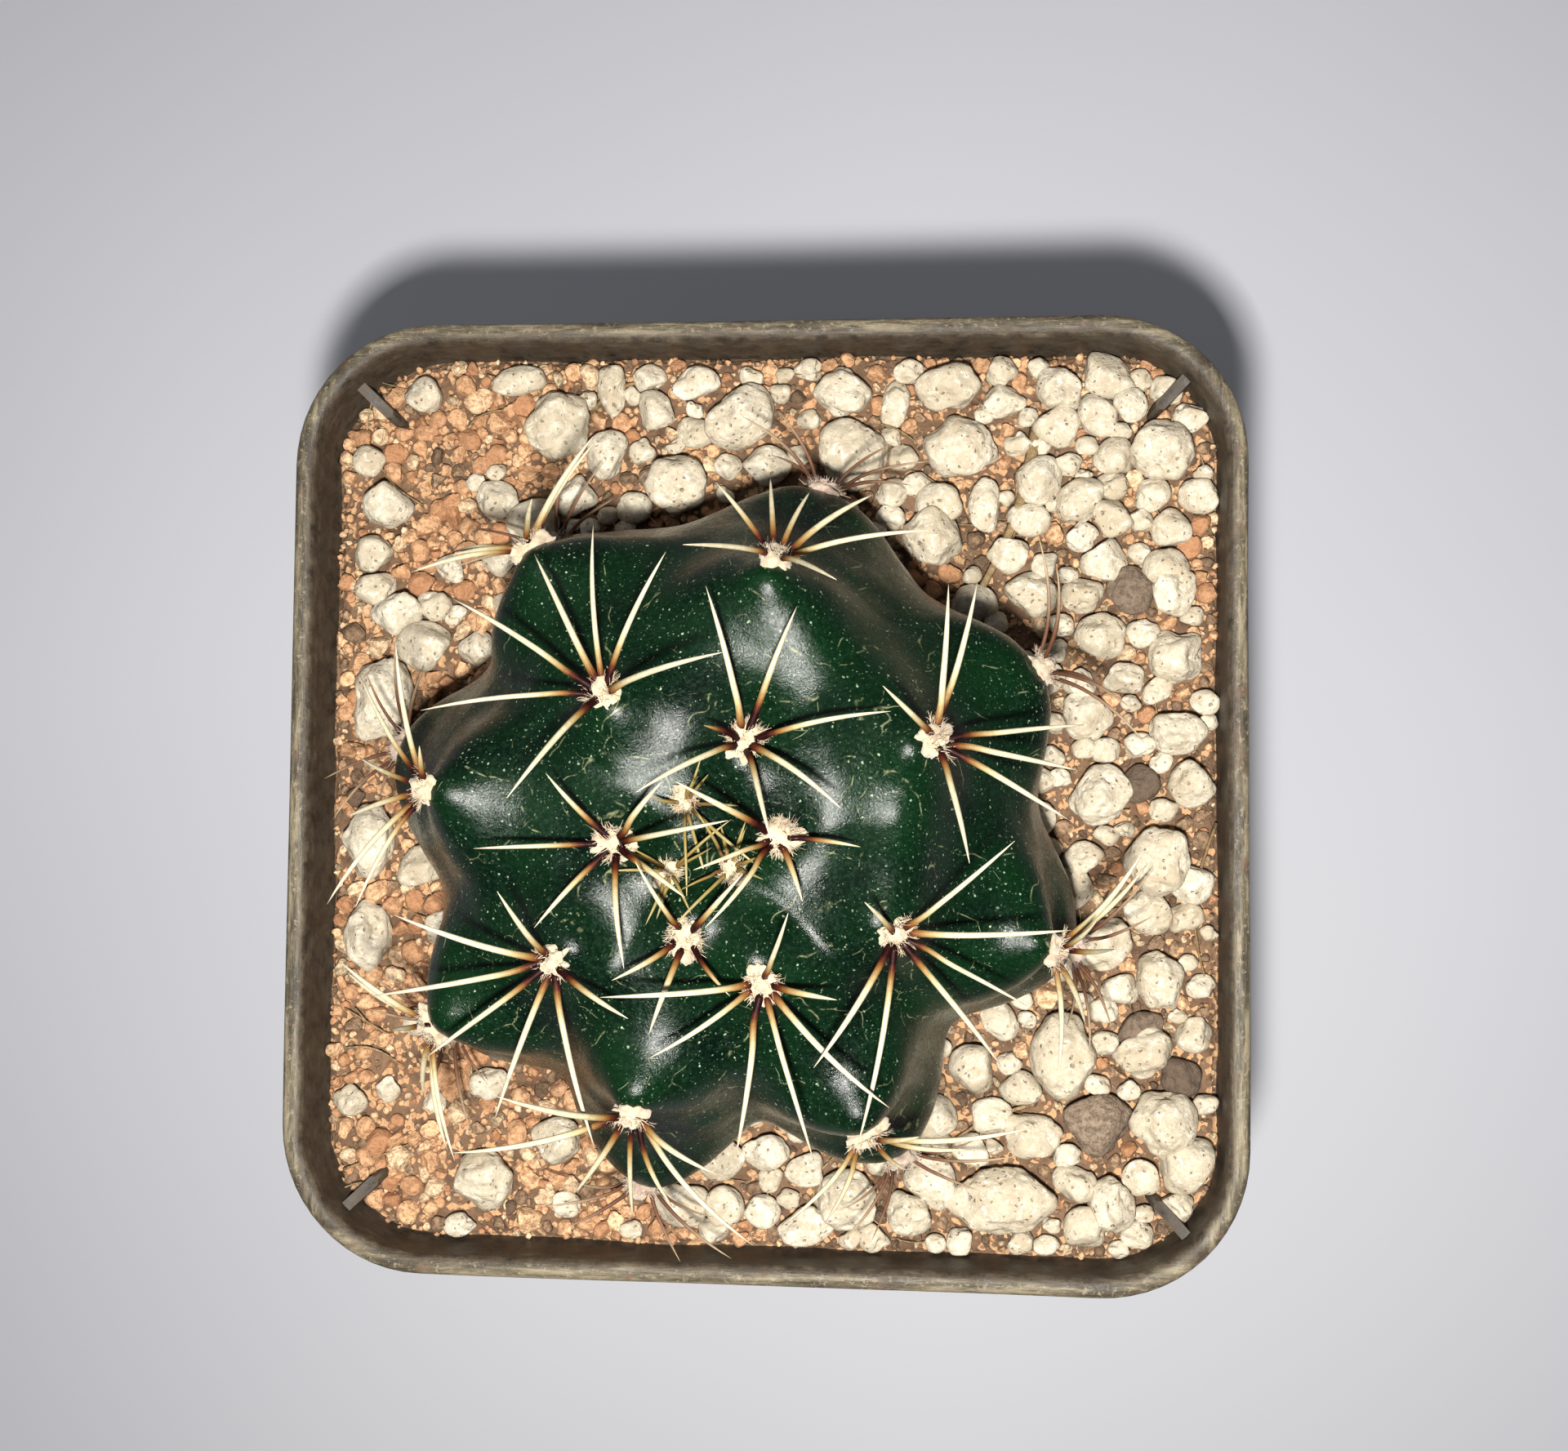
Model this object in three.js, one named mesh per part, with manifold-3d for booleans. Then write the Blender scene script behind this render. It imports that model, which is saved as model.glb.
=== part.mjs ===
// A small round cactus growing in a square plastic nursery pot.
//
// The pot is a tapered rounded-square shell with a rim band, a raised floor with drain holes and
// a stacking rib inside each corner. It is filled with growing mix. The plant is one ribbed body
// with a short taproot, and a spine cluster on each areole. Pumice stones dress the top.
//
// Units are millimetres. +Z is up, and the origin is at the middle of the pot, on the surface
// that it stands on. +Y is the back.
import * as THREE from "three";
import { mergeVertices } from "three/addons/utils/BufferGeometryUtils.js";
import Module from "manifold-3d";

const wasm = await Module();
wasm.setup();

// ---------------------------------------------------------------- driving dimensions
const GAP = 0.3; // clearance between two pieces that rest against each other

const POT_WIDTH = 70; // across the rim
const POT_HEIGHT = 65;
const POT_CORNER = 10.5; // plan radius of the rim's outer corners
const POT_BASE_WIDTH = 53;
const POT_BASE_CORNER = 9;
const POT_WALL = 1.1;
const POT_FLOOR = 1.2;
const RIM_HEIGHT = 6.5; // the band round the mouth
const RIM_STEP = 1.0; // how far the band stands out from the wall below it
const RIM_THICKNESS = 1.5;
const RIM_ROUND = 0.5; // rounding of the band's two top edges
const FOOT_HEIGHT = 2.6; // the foot ring under the raised floor
const FOOT_WIDTH = 1.8;
const FOOT_NOTCH_WIDTH = 9; // water runs out under each side
const FOOT_NOTCH_HEIGHT = 1.6;
const DRAIN_CENTRE_DIAMETER = 9;
const DRAIN_OUTER_DIAMETER = 7.5;
const DRAIN_OUTER_REACH = 21; // from the middle to each outer drain hole
const CORNER_RIB_LENGTH = 4.2; // stacking ribs inside the corners, towards the middle
const CORNER_RIB_THICKNESS = 0.8;
const CORNER_RIB_HEIGHT = 24;
const CORNER_RIB_BELOW_RIM = 2.2;

const HEADSPACE = 4.6; // from the growing mix up to the rim
const BODY_X = -1; // the plant stands a little off the pot's middle
const BODY_Y = -2.6;
const BODY_DIAMETER = 44.6; // at the widest level, without the tubercles
const BODY_RISE = 25.3; // above the growing mix
const ROOT_DEPTH = 18; // the taproot, below the top of the growing mix
const GROOVE_DEPTH = 2.5; // between ribs, at the widest level
const TUBERCLE_HEIGHT = 2.5;
const TUBERCLE_LENGTH = 3.1; // along the rib
const TUBERCLE_WIDTH = 5.6;
const TUBERCLE_LEAD = 0.7; // the swelling's middle lies this far above its areole
const CROWN_REACH = 0.32; // tubercles nearer the crown than this share of the skin are smaller

const SPINE_BASE_RADIUS = 0.3;
const SPINE_MIDDLE_RADIUS = 0.2;
const SPINE_LIFT = 21; // degrees above the skin
const FLANK_LIFT = 26; // spines near the growing mix stand further out
const SLOPE_LIMIT = 55; // steepest skin, in degrees, that turns a spine's bearing
const SPINE_BOW = 0.05; // how far a spine's middle bends away from the skin, as a share of its length
const CUSHION_RADIUS = 1.5; // the woolly areole
const CUSHION_HEIGHT = 1.0;

// The body's half-outline, from the crown down to the taproot's tip. The first number is a share
// of the body's radius. The second is a share of its rise above the growing mix or, where it is
// negative, of the taproot's depth.
const BODY_OUTLINE = [
  [0, 0.95],
  [0.22, 1],
  [0.44, 0.98],
  [0.66, 0.905],
  [0.845, 0.755],
  [0.965, 0.565],
  [1, 0.37],
  [0.94, 0.17],
  [0.79, 0],
  [0.53, -0.17],
  [0.26, -0.39],
  [0.13, -0.72],
  [0, -1],
];

// Each rib has its direction in degrees from +X, the depth of the groove counter-clockwise of it
// as a share of GROOVE_DEPTH, and its areoles from the crown outwards. An areole has its turn off
// the rib's direction, its place as a share of the way along the skin from the crown to the
// growing mix, and its spines. A spine is a bearing, seen from above and counter-clockwise from
// the rib's outward direction, and a length.
const FLANK_SPINES = [
  [-128, 6],
  [-96, 7.5],
  [-62, 7],
  [58, 6.5],
  [92, 8],
  [131, 6],
];
const RIBS = [
  {
    bearing: -18,
    groove: 0.5,
    areoles: [
      [-6, 0.3, [[143, 6], [74, 10], [34, 10.5], [0, 9.5], [-23, 11], [-67, 13], [-88, 9.5]]],
      [0, 0.565, [[111, 6.5], [85, 9.5], [60, 8.5], [12, 7], [-40, 7], [-79, 8]]],
      [0, 0.79, FLANK_SPINES],
    ],
  },
  {
    bearing: 28,
    groove: 0.5,
    areoles: [
      [-26, 0.125, [[-10, 5], [-72, 4.5], [-128, 8], [-158, 6.5], [150, 8]]],
      [-5, 0.345, [[114, 7], [66, 9.5], [56, 10], [-14, 10], [-32, 9.5], [-51, 9.5], [-94, 9]]],
      [0, 0.635, [[100, 8], [70, 9], [42, 8], [-30, 7], [-62, 8.5], [-98, 8]]],
    ],
  },
  {
    bearing: 76,
    groove: 0.35,
    areoles: [
      [-12, 0.16, [[43, 9.5], [7, 8.5], [-52, 9], [-98, 8], [-136, 8], [146, 9], [103, 3]]],
      [0, 0.4, [[54, 6.5], [22, 6.5], [-8, 6], [-40, 8], [-68, 10], [-106, 9.5], [111, 9.5]]],
      [0, 0.75, FLANK_SPINES],
    ],
  },
  {
    bearing: 124,
    groove: 0.8,
    areoles: [
      [0, 0.24, [[114, 10], [63, 11], [25, 11.5], [-6, 10], [-30, 10.5], [-61, 9.5], [-112, 11]]],
      [0, 0.55, [[100, 6], [70, 8], [48, 7], [-66, 8.5], [-82, 9], [-112, 6]]],
      [0, 0.8, FLANK_SPINES],
    ],
  },
  {
    bearing: 171,
    groove: 0.8,
    areoles: [
      [13, 0.125, [[-54, 6], [-3, 8.5], [43, 7], [95, 8], [146, 7], [-171, 10], [-137, 6.5]]],
      [0, 0.4, [[-46, 9.5], [-74, 9.5], [-96, 4], [-12, 7], [26, 7.5], [58, 10], [74, 8.5]]],
      [-5, 0.77, FLANK_SPINES],
    ],
  },
  {
    bearing: 214,
    groove: 1,
    areoles: [
      [7, 0.265, [[-110, 7.5], [-67, 10], [-36, 11.5], [-9, 10.5], [23, 11], [57, 11.5], [107, 7]]],
      [0, 0.53, [[-78, 7], [-58, 7.5], [-16, 6.5], [30, 8], [54, 9.5], [70, 9]]],
      [0, 0.79, FLANK_SPINES],
    ],
  },
  {
    bearing: 256,
    groove: 1.35,
    areoles: [
      [8, 0.15, [[-146, 6.5], [-56, 5], [-14, 6], [48, 4.5], [144, 6.5]]],
      [0, 0.4, [[-98, 10.5], [-65, 11.5], [-24, 8], [10, 8.5], [36, 7], [59, 11], [80, 7]]],
      [0, 0.75, FLANK_SPINES],
    ],
  },
  {
    bearing: 298,
    groove: 1.15,
    areoles: [
      [-2, 0.22, [[128, 7.5], [62, 5], [26, 10.5], [-6, 11], [-31, 10.5], [-78, 8], [-110, 10]]],
      [0, 0.505, [[74, 10.5], [94, 5], [54, 7], [16, 5], [-50, 7], [-78, 7]]],
      [0, 0.76, FLANK_SPINES],
    ],
  },
];

// Young areoles crowded round the growing point: direction, place along the skin, spines.
const CROWN_AREOLES = [
  [118, 0.06, [[-150, 6.5], [150, 6], [-50, 2.5]]],
  [228, 0.07, [[60, 3.5], [-65, 3], [170, 5]]],
  [318, 0.07, [[20, 3], [160, 4.5], [-100, 3.5]]],
];

// Pumice stones on the growing mix: place of the middle, as shares of the way from the pot's
// middle to its wall, then width, depth and height, and the turn in degrees.
const STONES = [
  [-0.48, 0.84, 5.3, 5, 4.4, 20],
  [-0.06, 0.86, 6.2, 4.8, 4.2, 35],
  [-0.2, 0.7, 4.8, 4.8, 4.4, 10],
  [0.17, 0.91, 4.4, 3.6, 3.6, 0],
  [0.4, 0.92, 5.4, 3.6, 3.8, 0],
  [0.19, 0.77, 5.4, 5, 4.4, 15],
  [0.43, 0.78, 5.8, 4.4, 4.2, -15],
  [0.65, 0.91, 3.6, 3.3, 3.2, 10],
  [0.88, 0.77, 5.2, 4.4, 4, 0],
  [0.37, 0.58, 4.8, 4.6, 4, 45],
  [0.9, 0.46, 4, 3.6, 3.4, 40],
  [0.74, 0.36, 4.2, 3.6, 3.4, 25],
  [0.9, 0.32, 4.4, 3.8, 3.6, -10],
  [0.91, 0.15, 4.4, 3.3, 3.4, 5],
  [0.74, 0.02, 5, 4.4, 4.2, 15],
  [0.87, -0.13, 5, 5.6, 5, 5],
  [0.75, -0.31, 4.2, 4.2, 3.8, 0],
  [0.87, -0.38, 3.6, 4.4, 3.6, 20],
  [0.66, -0.56, 5, 6.4, 5, -5],
  [0.84, -0.54, 5, 3.8, 3.8, 15],
  [0.88, -0.7, 4.8, 4.8, 4.4, 0],
  [0.77, -0.87, 4, 4.4, 3.8, 30],
  [0.53, -0.87, 8.4, 5.2, 5.4, 0],
  [0.33, -0.91, 3.6, 3.6, 3.4, 50],
  [0.19, -0.88, 5, 4.6, 4, 0],
  [-0.62, -0.86, 4.5, 4.5, 3.8, 15],
  [-0.87, 0.22, 4.6, 6.4, 5, 8],
  [-0.9, -0.11, 3.6, 5.8, 4, 0],
  [-0.9, -0.32, 3.4, 5.4, 3.8, -5],
];
const STONE_SINK = 0.33; // share of a stone's height that lies in the growing mix
const STONE_ROUGHNESS = 0.12;

// ---------------------------------------------------------------- colours
const material = (name, color, roughness) =>
  Object.assign(new THREE.MeshStandardMaterial({ color, roughness, metalness: 0 }), { name });
const MATERIALS = {
  pot: material("pot_plastic", 0x4a453d, 0.5),
  mix: material("growing_mix", 0x8a6248, 0.95),
  body: material("cactus_skin", 0x12301b, 0.35),
  spines: material("spine", 0xd9cfab, 0.5),
  stone: material("pumice", 0xcfc5ac, 0.95),
};

const radians = THREE.MathUtils.degToRad;

// ---------------------------------------------------------------- solids from rings of points
const RING_POINTS_PER_CORNER = 7;

// A horizontal rounded square, as points from the +X side counter-clockwise.
function roundedSquare({ half, corner }, z) {
  const points = [];
  for (let quarter = 0; quarter < 4; quarter++) {
    const start = (quarter * Math.PI) / 2;
    const centre = new THREE.Vector3(half - corner, half - corner, z);
    centre.applyAxisAngle(new THREE.Vector3(0, 0, 1), start);
    for (let i = 0; i < RING_POINTS_PER_CORNER; i++) {
      const a = start + (i / (RING_POINTS_PER_CORNER - 1)) * (Math.PI / 2);
      points.push(
        new THREE.Vector3(centre.x + corner * Math.cos(a), centre.y + corner * Math.sin(a), z),
      );
    }
  }
  return points;
}

// A closed surface through rings with the same number of points, with a fan to a point at each
// end. Rings run counter-clockwise seen from the end where the list starts.
function skinRings(startPoint, rings, endPoint) {
  const count = rings[0].length;
  const points = [startPoint, ...rings.flat(), endPoint];
  const at = (ring, i) => 1 + ring * count + (i % count);
  const faces = [];
  for (let i = 0; i < count; i++) faces.push(0, at(0, i), at(0, i + 1));
  for (let r = 0; r + 1 < rings.length; r++)
    for (let i = 0; i < count; i++) {
      faces.push(at(r, i), at(r + 1, i), at(r + 1, i + 1));
      faces.push(at(r, i), at(r + 1, i + 1), at(r, i + 1));
    }
  const last = rings.length - 1;
  for (let i = 0; i < count; i++) faces.push(points.length - 1, at(last, i + 1), at(last, i));
  return new THREE.BufferGeometry().setFromPoints(points).setIndex(faces);
}

const reversed = (ring) => [...ring].reverse();

// ---------------------------------------------------------------- joining and cutting
function solidOf(geometry) {
  const bare = geometry.clone();
  bare.deleteAttribute("normal");
  bare.deleteAttribute("uv");
  const merged = mergeVertices(bare, 1e-4);
  return new wasm.Manifold(
    new wasm.Mesh({
      numProp: 3,
      vertProperties: new Float32Array(merged.attributes.position.array),
      triVerts: new Uint32Array(merged.index.array),
    }),
  );
}

function geometryOf(solid) {
  const mesh = solid.getMesh();
  const geometry = new THREE.BufferGeometry();
  geometry.setAttribute("position", new THREE.BufferAttribute(mesh.vertProperties, 3));
  geometry.setIndex(new THREE.BufferAttribute(mesh.triVerts, 1));
  geometry.computeVertexNormals();
  return geometry;
}

const part = new THREE.Group();
function addNode(name, geometry, nodeMaterial) {
  const mesh = new THREE.Mesh(geometry, nodeMaterial);
  mesh.name = name;
  part.add(mesh);
  return mesh;
}

// ---------------------------------------------------------------- pot
const MIX_TOP = POT_HEIGHT - HEADSPACE;
const FLOOR_TOP = FOOT_HEIGHT + POT_FLOOR;
const RIM_BOTTOM = POT_HEIGHT - RIM_HEIGHT;
const WALL_TOP_HALF = POT_WIDTH / 2 - RIM_STEP;
const BASE_HALF = POT_BASE_WIDTH / 2;
const onPotAxis = (z) => new THREE.Vector3(0, 0, z);
const EASE = 1 - Math.SQRT1_2; // where the middle of a quarter round lies, as a share of its radius
const RIM_OUTSIDE = { half: POT_WIDTH / 2, corner: POT_CORNER };
const inset = ({ half, corner }, by) => ({ half: half - by, corner: corner - by });

// Half-width and corner radius of the wall's outside at a height below the rim band.
function wallAt(z) {
  const share = z / RIM_BOTTOM;
  return {
    half: THREE.MathUtils.lerp(BASE_HALF, WALL_TOP_HALF, share),
    corner: THREE.MathUtils.lerp(POT_BASE_CORNER, POT_CORNER - RIM_STEP, share),
  };
}

// The levels where the inside of the pot changes slope, with its half-width and corner radius.
const INSIDE_LEVELS = [
  { z: FLOOR_TOP, ...inset(wallAt(FLOOR_TOP), POT_WALL) },
  { z: RIM_BOTTOM, ...inset(wallAt(RIM_BOTTOM), POT_WALL) },
  { z: RIM_BOTTOM + POT_WALL, ...inset(RIM_OUTSIDE, RIM_THICKNESS) },
  { z: POT_HEIGHT, ...inset(RIM_OUTSIDE, RIM_THICKNESS) },
];

// Half-width and corner radius of the inside of the pot at a height.
function insideAt(z) {
  const above = Math.max(1, INSIDE_LEVELS.findIndex((level) => level.z >= z));
  const [low, high] = [INSIDE_LEVELS[above - 1], INSIDE_LEVELS[above]];
  const share = (z - low.z) / (high.z - low.z);
  return {
    half: THREE.MathUtils.lerp(low.half, high.half, share),
    corner: THREE.MathUtils.lerp(low.corner, high.corner, share),
  };
}

function potShell() {
  const wall = (by, z) => roundedSquare(inset(wallAt(z), by), z);
  const band = (by, z) => roundedSquare(inset(RIM_OUTSIDE, by), z);
  const easedTop = POT_HEIGHT - RIM_ROUND * EASE;
  const rings = [
    wall(FOOT_WIDTH, FOOT_HEIGHT),
    wall(FOOT_WIDTH, 0),
    wall(0, 0),
    wall(0, RIM_BOTTOM),
    band(0, RIM_BOTTOM),
    band(0, POT_HEIGHT - RIM_ROUND),
    band(RIM_ROUND * EASE, easedTop),
    band(RIM_ROUND, POT_HEIGHT),
    band(RIM_THICKNESS - RIM_ROUND, POT_HEIGHT),
    band(RIM_THICKNESS - RIM_ROUND * EASE, easedTop),
    band(RIM_THICKNESS, POT_HEIGHT - RIM_ROUND),
    ...INSIDE_LEVELS.slice(0, 3).reverse().map((level) => roundedSquare(level, level.z)),
  ];
  return skinRings(onPotAxis(FOOT_HEIGHT), rings.map(reversed), onPotAxis(FLOOR_TOP));
}

// An upright round cutter through the pot's floor.
function drainCutter(diameter, x, y) {
  const cutter = new THREE.CylinderGeometry(diameter / 2, diameter / 2, FLOOR_TOP * 2, 20);
  return solidOf(cutter.rotateX(Math.PI / 2).translate(x, y, FLOOR_TOP));
}

// A stacking rib on the diagonal of one corner. Its outer end is buried in the wall. Clearance
// grows it on every side, for the slot that it needs in the growing mix.
function cornerRib(quarter, clearance) {
  const top = POT_HEIGHT - CORNER_RIB_BELOW_RIM;
  const bottom = top - CORNER_RIB_HEIGHT;
  const wallMiddle = (z) => {
    const { half, corner } = insideAt(z);
    return (half - corner) * Math.SQRT2 + corner + POT_WALL / 2;
  };
  const innerEnd = (z) => wallMiddle(z) - CORNER_RIB_LENGTH - clearance;
  const outline = new THREE.Shape([
    new THREE.Vector2(wallMiddle(bottom) + clearance, bottom - clearance),
    new THREE.Vector2(wallMiddle(RIM_BOTTOM) + clearance, RIM_BOTTOM),
    new THREE.Vector2(wallMiddle(top) + clearance, top + clearance),
    new THREE.Vector2(innerEnd(top), top + clearance),
    new THREE.Vector2(innerEnd(bottom), bottom - clearance),
  ]);
  const thickness = CORNER_RIB_THICKNESS + 2 * clearance;
  const rib = new THREE.ExtrudeGeometry(outline, { depth: thickness, bevelEnabled: false });
  rib.translate(0, 0, -thickness / 2).rotateX(Math.PI / 2);
  return solidOf(rib.rotateZ(Math.PI / 4 + (quarter * Math.PI) / 2));
}

function buildPot() {
  let pot = solidOf(potShell());
  for (let quarter = 0; quarter < 4; quarter++) pot = pot.add(cornerRib(quarter, 0));
  pot = pot.subtract(drainCutter(DRAIN_CENTRE_DIAMETER, 0, 0));
  for (let quarter = 0; quarter < 4; quarter++) {
    const a = Math.PI / 4 + (quarter * Math.PI) / 2;
    const x = DRAIN_OUTER_REACH * Math.cos(a);
    const y = DRAIN_OUTER_REACH * Math.sin(a);
    pot = pot.subtract(drainCutter(DRAIN_OUTER_DIAMETER, x, y));
  }
  for (const [width, depth] of [
    [POT_WIDTH, FOOT_NOTCH_WIDTH],
    [FOOT_NOTCH_WIDTH, POT_WIDTH],
  ]) {
    const notch = new THREE.BoxGeometry(width, depth, FOOT_NOTCH_HEIGHT * 2);
    pot = pot.subtract(solidOf(notch));
  }
  return pot;
}
addNode("pot", geometryOf(buildPot()), MATERIALS.pot);

// ---------------------------------------------------------------- cactus body
const RIB_SAMPLES = 64;
const OUTLINE_SAMPLES = 27;
const outlinePoints = BODY_OUTLINE.map(
  ([radius, level]) =>
    new THREE.Vector2(
      (radius * BODY_DIAMETER) / 2,
      level * (level > 0 ? BODY_RISE : ROOT_DEPTH),
    ),
);
const outline = new THREE.SplineCurve(outlinePoints);
const OUTLINE_LENGTH = outline.getLength();
const POINTS_TO_MIX = BODY_OUTLINE.findIndex(([, level]) => level === 0) + 1;
const SKIN_LENGTH = new THREE.SplineCurve(outlinePoints.slice(0, POINTS_TO_MIX)).getLength();
const RIB_ANGLES = RIBS.map((rib) => radians(rib.bearing));

// The signed turn from one angle to another, within half a turn either way.
const turnBetween = (from, to) => Math.atan2(Math.sin(to - from), Math.cos(to - from));

// How deep the groove is at an angle: 0 on a rib's ridge, and the rib's own share midway between
// it and the next.
function grooveShare(angle) {
  const before = RIB_ANGLES.map((rib) => (turnBetween(rib, angle) + 2 * Math.PI) % (2 * Math.PI));
  const past = Math.min(...before);
  const toNext = 2 * Math.PI - Math.max(...before);
  const depth = 1 - Math.abs(Math.cos((Math.PI * past) / (past + toNext))) ** 1.2;
  return depth * RIBS[before.indexOf(past)].groove;
}

// Ribs grow from nothing at the crown to full depth at the widest level, and fade underneath.
// Places along the skin are shares of the way from the crown to the growing mix.
function ribStrength(place) {
  const grown = THREE.MathUtils.smoothstep(place, 0.05, 0.55);
  return grown * (1 - THREE.MathUtils.smoothstep(place, 0.87, 1.15));
}

const tubercles = RIBS.flatMap((rib) =>
  rib.areoles.map(([turn, place]) => ({
    angle: radians(rib.bearing + turn),
    along: place * SKIN_LENGTH,
    size: THREE.MathUtils.clamp(place / CROWN_REACH, 0.4, 1),
  })),
);

function tubercleSwelling(angle, along, radius) {
  let sum = 0;
  for (const { angle: middle, along: areole, size } of tubercles) {
    const down = (along - areole + TUBERCLE_LEAD * size) / (TUBERCLE_LENGTH * size);
    const aside = (turnBetween(middle, angle) * radius) / (TUBERCLE_WIDTH * size);
    sum += TUBERCLE_HEIGHT * size * Math.exp(-down * down - aside * aside);
  }
  return sum;
}

// A point on the skin, at an angle round the axis and a distance along it from the crown.
function skinPoint(angle, along, clearance = 0) {
  const share = THREE.MathUtils.clamp(along / OUTLINE_LENGTH, 0, 1);
  const at = outline.getPointAt(share);
  const tangent = outline.getTangentAt(share);
  const out = new THREE.Vector2(-tangent.y, tangent.x);
  const push =
    tubercleSwelling(angle, along, at.x) -
    GROOVE_DEPTH * ribStrength(along / SKIN_LENGTH) * grooveShare(angle) +
    clearance;
  const r = at.x + out.x * push;
  return new THREE.Vector3(
    BODY_X + r * Math.cos(angle),
    BODY_Y + r * Math.sin(angle),
    MIX_TOP + at.y + out.y * push,
  );
}

// The body as a closed surface. Clearance grows it, for the socket that it needs.
function bodySurface(clearance = 0) {
  const rings = [];
  for (let k = 1; k < OUTLINE_SAMPLES; k++) {
    const along = (k / OUTLINE_SAMPLES) * OUTLINE_LENGTH;
    const ring = [];
    for (let i = 0; i < RIB_SAMPLES; i++)
      ring.push(skinPoint((i / RIB_SAMPLES) * 2 * Math.PI, along, clearance));
    rings.push(ring);
  }
  const onAxis = (z) => new THREE.Vector3(BODY_X, BODY_Y, MIX_TOP + z);
  const crown = onAxis(outlinePoints[0].y + clearance);
  return skinRings(crown, rings, onAxis(outlinePoints.at(-1).y - clearance));
}
addNode("cactus_body", bodySurface(), MATERIALS.body);

// ---------------------------------------------------------------- spine clusters
const STEP = 0.2; // for measuring how the skin lies round an areole

// The areole's frame: outward along the rib, sideways, and away from the skin.
function areoleFrame(angle, along) {
  const at = skinPoint(angle, along);
  const outward = skinPoint(angle, along + STEP).sub(skinPoint(angle, along - STEP)).normalize();
  const turn = STEP / 4;
  const aside = skinPoint(angle + turn, along).sub(skinPoint(angle - turn, along)).normalize();
  const away = new THREE.Vector3().crossVectors(outward, aside).normalize();
  const side = new THREE.Vector3().crossVectors(away, outward).normalize();
  return new THREE.Matrix4().makeBasis(outward, side, away).setPosition(at);
}

// A woolly cushion with a flat underside, a gap above the skin.
function cushion(size) {
  const profile = [
    [0, GAP],
    [CUSHION_RADIUS * size, GAP],
    [CUSHION_RADIUS * 0.8 * size, GAP + CUSHION_HEIGHT * 0.65 * size],
    [0, GAP + CUSHION_HEIGHT * size],
  ].map(([r, z]) => new THREE.Vector2(r, z));
  return solidOf(new THREE.LatheGeometry(profile, 8).rotateX(Math.PI / 2));
}

// The bearing in the skin's own plane of a spine that is seen from above at a given bearing,
// where the skin falls away at a slope and the spine rises from it. Angles are in radians.
function bearingOnSkin(seen, slope, lift) {
  const ahead = Math.cos(lift) * Math.cos(slope) * Math.sin(seen);
  const aside = Math.cos(lift) * Math.cos(seen);
  const rise = Math.sin(lift) * Math.sin(slope) * Math.sin(seen);
  return Math.atan2(ahead, aside) + Math.asin(rise / Math.hypot(ahead, aside));
}

// A four-sided tapering spine with one bend, from inside the cushion to a point.
function spine(bearing, length, lift, size) {
  const direction = new THREE.Vector3(1, 0, 0)
    .applyAxisAngle(new THREE.Vector3(0, 1, 0), -lift)
    .applyAxisAngle(new THREE.Vector3(0, 0, 1), bearing);
  const up = new THREE.Vector3(0, 0, 1);
  const side = new THREE.Vector3().crossVectors(up, direction).normalize();
  const across = new THREE.Vector3().crossVectors(direction, side);
  const root = new THREE.Vector3(0, 0, GAP + CUSHION_HEIGHT * 0.45 * size);
  const middle = root
    .clone()
    .addScaledVector(direction, length * 0.45)
    .addScaledVector(across, length * SPINE_BOW);
  const tip = root.clone().addScaledVector(direction, length);
  const ring = (centre, radius) =>
    [0, 1, 2, 3].map((i) =>
      centre
        .clone()
        .addScaledVector(side, radius * Math.cos((i * Math.PI) / 2))
        .addScaledVector(across, radius * Math.sin((i * Math.PI) / 2)),
    );
  const rings = [ring(middle, SPINE_MIDDLE_RADIUS * size), ring(root, SPINE_BASE_RADIUS * size)];
  return solidOf(skinRings(tip, rings, root.clone().addScaledVector(direction, -0.1)));
}

function addCluster(name, angle, place, spines) {
  const size = THREE.MathUtils.clamp(place / CROWN_REACH + 0.25, 0.5, 1);
  const frame = areoleFrame(angle, place * SKIN_LENGTH);
  const onFlank = spines === FLANK_SPINES;
  const lift = radians(onFlank ? FLANK_LIFT : SPINE_LIFT);
  const slope = Math.min(Math.acos(frame.elements[10]), radians(SLOPE_LIMIT));
  let cluster = cushion(size);
  for (const [seen, length] of spines) {
    const bearing = onFlank ? radians(seen) : bearingOnSkin(radians(seen), slope, lift);
    cluster = cluster.add(spine(bearing, length, lift, size));
  }
  addNode(name, geometryOf(cluster), MATERIALS.spines).applyMatrix4(frame);
}

RIBS.forEach((rib, r) =>
  rib.areoles.forEach(([turn, place, spines], a) =>
    addCluster(`rib${r + 1}_spines_${a + 1}`, radians(rib.bearing + turn), place, spines),
  ),
);
CROWN_AREOLES.forEach(([bearing, place, spines], i) =>
  addCluster(`crown_spines_${i + 1}`, radians(bearing), place, spines),
);

// ---------------------------------------------------------------- stones
// Small repeatable numbers from 0 to 1, so that every stone has its own shape.
function random(seed) {
  const x = Math.sin(seed * 12.9898) * 43758.5453;
  return x - Math.floor(x);
}

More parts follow.
